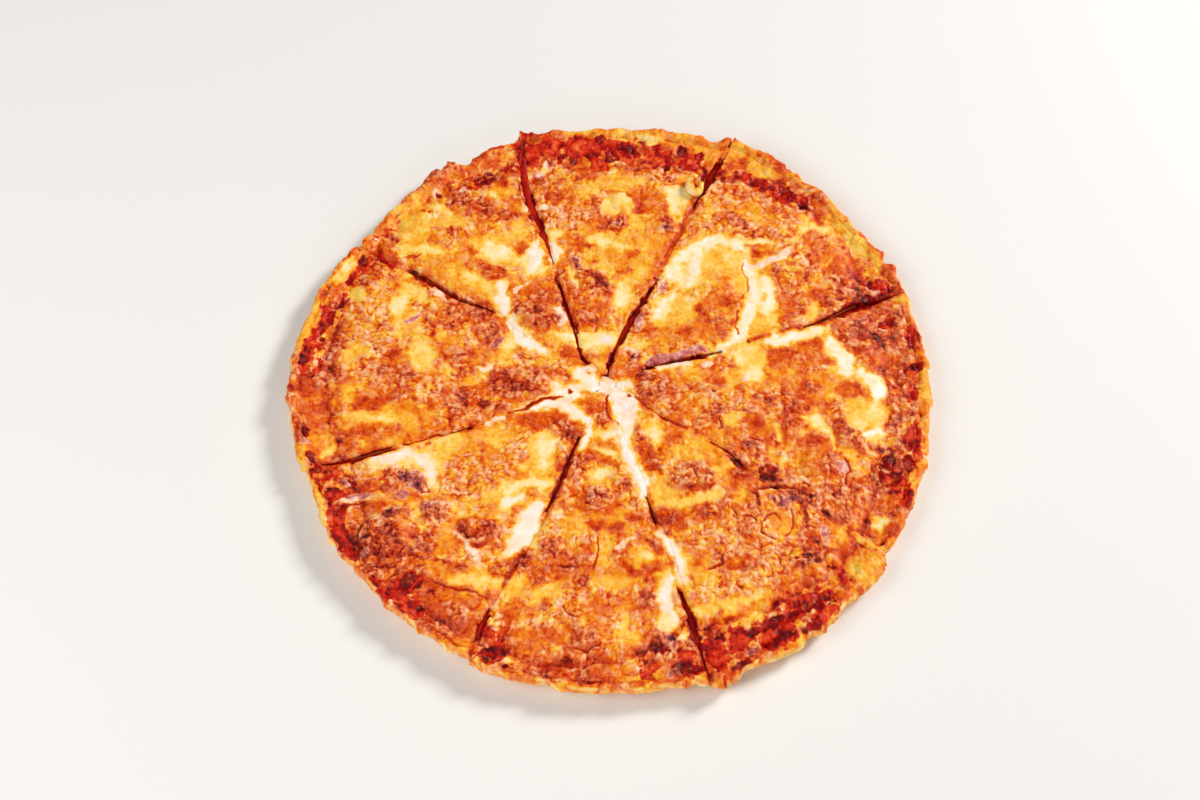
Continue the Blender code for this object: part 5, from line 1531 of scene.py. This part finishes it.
def ringGrid(shape):
    # directions round a middle and the part of the way out from it
    around = np.linspace(0, 2 * math.pi, shape["around"], endpoint=False)[None, :]
    return around, np.linspace(0.02, 1, shape["rings"])[:, None]


def makeRound(number, oval, shape=roundShape):
    # a lens on a polar grid: it leaves the cheese at its wavy edge and domes over it
    x0, y0, length, width, turn = oval
    turn = math.radians(turn)
    around, out = ringGrid(shape)
    size, height = shape["wobble"]
    wavy = 1 + height * waveNoise(3 * np.cos(around) + 9 * number, 3 * np.sin(around), size, 951)
    u = length / 2 * shape["grow"] * out * wavy * np.cos(around)
    v = width / 2 * shape["grow"] * out * wavy * np.sin(around)
    x = x0 + u * math.cos(turn) - v * math.sin(turn)
    y = y0 + u * math.sin(turn) + v * math.cos(turn)
    dome = (shape["rise"] + shape["sink"]) * (1 - out ** 4) - shape["sink"]
    top = np.stack([x, y, sampled(plan["surface"], x, y) + dome], -1)
    points, groups = closedRound(top, top[-1, :, 2].min() - shape["thickness"] * 0.6)
    bake = bakeAt(points)
    return addPiece(f"brownedRound_{number}", points, groups, materials["pepperoni"], bake)


for number, oval in enumerate(rounds, start=1):
    finishPiece(makeRound(number, oval), "pepperoni", f"pepperoni_{number}")
print("laid the browned rounds")


# tubes and ribbons carried along a path
def softLine(values, reach):
    # a running mean over reach values to each side, the ends carried on
    padded = np.pad(values, reach, mode="edge")
    return np.convolve(padded, np.ones(2 * reach + 1) / (2 * reach + 1), "valid")


def carried(path, halfWidth, halfHeight, sides):
    # an oval section carried along a path of points, level across it, its ends closed to a
    # point: section = path + across * width * cos + up * height * sin
    ahead = np.gradient(path, axis=0)
    level = np.stack([-ahead[:, 1], ahead[:, 0], ahead[:, 0] * 0], -1)
    level /= np.maximum(np.linalg.norm(level, axis=1, keepdims=True), 1e-9)
    around = np.linspace(0, 2 * math.pi, sides, endpoint=False)
    points = path[:, None, :] + level[:, None, :] * (halfWidth[:, None] * np.cos(around))[..., None]
    points[..., 2] += halfHeight[:, None] * np.sin(around)
    points = np.concatenate([points.reshape(-1, 3), path[:1], path[-1:]])
    return points, tubeFaces(len(path), sides)


def joined(parts):
    # several closed shapes as one mesh, each turned outwards
    points, groups, count = [], [], 0
    for shapePoints, shapeGroups in parts:
        groups.extend(group + count for group in outwards(shapePoints, shapeGroups))
        points.append(shapePoints)
        count += len(shapePoints)
    return np.concatenate(points), groups


# where melt closes a cut: cut, from and to which radius, half width, how far it stands proud
seams = [
    ("A", 6, 14, 1.6, -0.1), ("A", 60, 72, 1.3, -0.5), ("B", 56, 108, 1.3, -0.75), ("C", 3, 18, 1.6, -0.2),
    ("C", 57, 98, 1.6, -0.45), ("D", 3, 56, 1.7, -0.35), ("D", 74, 92, 1.4, -0.9), ("D", 94, 150, 1.8, -0.3),
    ("E", 3, 60, 2.0, 0.1), ("E", 74, 108, 1.7, 0.0), ("F", 3, 30, 1.7, 0.0), ("F", 70, 122, 1.5, -0.7),
    ("F", 134, 144, 1.3, -0.4), ("G", 3, 66, 1.9, 0.1), ("G", 76, 104, 1.4, -0.7), ("G", 136, 146, 1.2, -0.5),
    ("H", 3, 54, 1.9, 0.0), ("H", 54, 66, 1.5, -0.6), ("H", 112, 143, 1.4, -0.5), ("B", 138, 150, 1.0, -0.8),
]
seamLook = {"halfHeight": 0.6, "waver": (5.0, 0.25), "sides": 16, "paler": 0.06}


def cutPath(name, fromRadius, toRadius, step=0.6):
    # points along a cut's middle, about a step apart
    radius = np.linspace(fromRadius, toRadius, max(6, int((toRadius - fromRadius) / step)))
    return polar(radius, cutSide(name, radius, 0), radius * 0)


def seamShape(name, fromRadius, toRadius, halfWidth, proud):
    # a flat ribbon that follows the cut and the cheese's height, thinning to its ends
    path = cutPath(name, fromRadius, toRadius)
    surface = softLine(sampled(plan["surface"], path[:, 0], path[:, 1]), 5)
    path[:, 2] = surface + proud - seamLook["halfHeight"]
    taper = np.sqrt(np.clip(np.sin(np.linspace(0, math.pi, len(path))) * 3, 0, 1))
    size, waver = seamLook["waver"]
    width = halfWidth * taper * (1 + waver * noiseOn(path, size, 1001))
    return carried(path, width, seamLook["halfHeight"] * np.maximum(taper, 0.2), seamLook["sides"])


points, groups = joined([seamShape(*seam) for seam in seams])
bake = bakeAt(points)
bake[:, 0] -= seamLook["paler"]
finishPiece(addPiece("meltedSeams", points, groups, materials["cheese"], bake), "cheese")

# the melt where the tips meet: a domed disc on a polar grid, with a wavy edge
centreMelt = {"rings": 24, "around": 90, "middle": (1.0, -1.0), "radius": 6.2, "wobble": (1.2, 1.8),
              "below": 0.25, "droop": 1.0, "bottom": 6.0, "bake": (0.04, 0.30, 0.06), "crumb": 0.1,
              "pink": 0.75}
around, out = ringGrid(centreMelt)
wobbleSize, wobble = centreMelt["wobble"]
reach = centreMelt["radius"] + wobble * waveNoise(2 * np.cos(around), 2 * np.sin(around), wobbleSize, 1003)
x = reach * out * np.cos(around) + centreMelt["middle"][0]
y = reach * out * np.sin(around) + centreMelt["middle"][1]
height = softLine(sampled(plan["surface"], x, y).ravel(), centreMelt["around"] // 2).reshape(x.shape)
top = np.stack([x, y, height - centreMelt["below"] - centreMelt["droop"] * out ** 4], -1)
points, groups = closedRound(top, centreMelt["bottom"])
bake = bakeAt(points)
palest, darkest, vary = centreMelt["bake"]
bake[:, 0] = np.clip(bake[:, 0], palest, darkest) + vary * noiseOn(points, 3.0, 1007)
bake[:, 1] = centreMelt["crumb"]
bake[:, 2] = np.maximum(bake[:, 2], centreMelt["pink"])
finishPiece(addPiece("centreMelt", points, groups, materials["cheese"], bake), "cheese")

# sauce that shows at the bottom of the open cuts: cut, from and to which radius, height
sauceRuns = [("A", 12, 60, 7.6), ("A", 70, 142, 9.0), ("B", 8, 58, 7.8), ("B", 104, 150, 6.2),
             ("C", 16, 58, 7.4), ("C", 96, 145, 5.2), ("E", 60, 76, 6.4), ("E", 104, 144, 7.6),
             ("F", 28, 94, 7.8), ("F", 120, 138, 8.6), ("G", 64, 78, 5.4), ("G", 98, 140, 7.0),
             ("H", 60, 112, 7.4), ("D", 60, 80, 6.5)]
runShape = {"below": 0.8, "lumps": (4.0, 0.5), "past": 0.8, "halfHeight": 0.9, "sides": 10,
            "bake": (0.62, 0.16), "crumb": 0.5, "pink": 0}
lumpSize, lumpHeight = runShape["lumps"]
runs = []
for name, fromRadius, toRadius, height in sauceRuns:
    path = cutPath(name, fromRadius, toRadius)
    path[:, 2] = height - runShape["below"] + lumpHeight * noiseOn(path, lumpSize, 1011)
    gap = np.interp(np.hypot(path[:, 0], path[:, 1]), tracks[name][0], tracks[name][2]) + runShape["past"]
    runs.append(carried(path, gap, path[:, 0] * 0 + runShape["halfHeight"], runShape["sides"]))
points, groups = joined(runs)
bake = plainBake(points, runShape, 5.0, 1021, sauce=1)
finishPiece(addPiece("sauceInCuts", points, groups, materials["sauce"], bake), "sauce")

# a curl near the rim: a tube on an open oval, thickest half way round, with low bulges along it
ring = {"centre": (44.0, 111.5), "radii": (2.7, 4.5), "tube": 1.8, "start": 70, "sweep": 300, "lift": -0.5,
        "stations": 70, "sides": 20, "flat": 0.95, "bulges": (19, 0.12), "bake": (0.38, 0.16, 0.35),
        "crumb": 0.4, "pink": 0}
turned = np.linspace(0, 1, ring["stations"])
angle = np.radians(ring["start"] + ring["sweep"] * turned)
(ringX, ringY), (ringWide, ringLong) = ring["centre"], ring["radii"]
path = np.stack([ringX + ringWide * np.cos(angle), ringY + ringLong * np.sin(angle), angle * 0], -1)
path[:, 2] = sampled(plan["surface"], path[:, 0], path[:, 1]).mean() + ring["tube"] + ring["lift"]
bulges, bulgeHeight = ring["bulges"]
thick = (ring["tube"] * 1.25 * (0.66 + 0.34 * np.sin(math.pi * turned))
         * (1 + bulgeHeight * np.sin(bulges * turned)))
points, groups = joined([carried(path, thick, thick * ring["flat"], ring["sides"])])
bake = plainBake(points, ring, 3.0, 1031)
inside = 1 - np.hypot((points[:, 0] - ringX) / ringWide, (points[:, 1] - ringY) / ringLong)
bake[:, 0] += ring["bake"][2] * np.clip(inside, -0.3, 0.5)    # painted shade: darker on the side that faces into the curl, a little paler on its outer side
finishPiece(addPiece("curledRing", points, groups, materials["pepper"], bake), "pepper", "pepper_ring")
print("laid the seams, the sauce in the cuts and the ring")


# floor, light and camera
def plainMaterial(name, color, roughness):
    # one colour and one roughness
    material = bpy.data.materials.new(name)
    material.use_nodes = True
    shader = material.node_tree.nodes["Principled BSDF"]
    shader.inputs["Base Color"].default_value = (*linear(color), 1.0)
    shader.inputs["Roughness"].default_value = roughness
    return material


studio = {
    "floorHalf": 3000.0, "floorLevel": -0.2, "floorColor": (238, 237, 235), "floorRoughness": 0.7,
    "ambient": 0.20, "skyColor": (1.0, 0.985, 0.965, 1.0), "lampColor": (1.0, 0.98, 0.95),
}
half = studio["floorHalf"]
corners = np.array([[-half, -half, 0], [half, -half, 0], [half, half, 0], [-half, half, 0]])
corners[:, 2] = studio["floorLevel"]
paleFloor = plainMaterial("paleFloor", studio["floorColor"], studio["floorRoughness"])
floor = addPiece("floor", corners, [np.array([[0, 1, 2, 3]])], paleFloor)

world = bpy.data.worlds.new("softDaylight")
bpy.context.scene.world = world
world.use_nodes = True
world.node_tree.nodes["Background"].inputs["Color"].default_value = studio["skyColor"]
world.node_tree.nodes["Background"].inputs["Strength"].default_value = studio["ambient"]

# name, place in metres, watts and width in metres; each is aimed at the middle
lamps = [
    ("windowLight", (1.50, 0.95, 1.15), 40.0, 0.50),
    ("fillLight", (-0.80, -0.30, 0.80), 6.7, 0.8),
    ("frontLight", (0.10, -1.30, 0.38), 7.0, 0.9),
]
for name, place, watts, width in lamps:
    lamp = bpy.data.lights.new(name, "AREA")
    lamp.energy, lamp.size, lamp.color = watts, width, studio["lampColor"]
    holder = bpy.data.objects.new(name, lamp)
    holder.location = place
    towards = -np.array(place)
    holder.rotation_euler = (math.acos(-towards[2] / np.linalg.norm(towards)), 0,
                             math.atan2(towards[1], towards[0]) - math.pi / 2)
    bpy.context.scene.collection.objects.link(holder)

view = {"lens": 50.0, "sensor": 36.0, "lean": 28.0, "place": (-3.25, -370.4, 691.3)}
lens = bpy.data.cameras.new("photoCamera")
lens.lens, lens.sensor_width, lens.sensor_fit = view["lens"], view["sensor"], "HORIZONTAL"
camera = bpy.data.objects.new("photoCamera", lens)
camera.location = [part * mm for part in view["place"]]
camera.rotation_euler = (math.radians(view["lean"]), 0, 0)
bpy.context.scene.collection.objects.link(camera)
bpy.context.scene.camera = camera
bpy.context.scene.view_settings.view_transform = "Standard"
print("set the light and the camera")
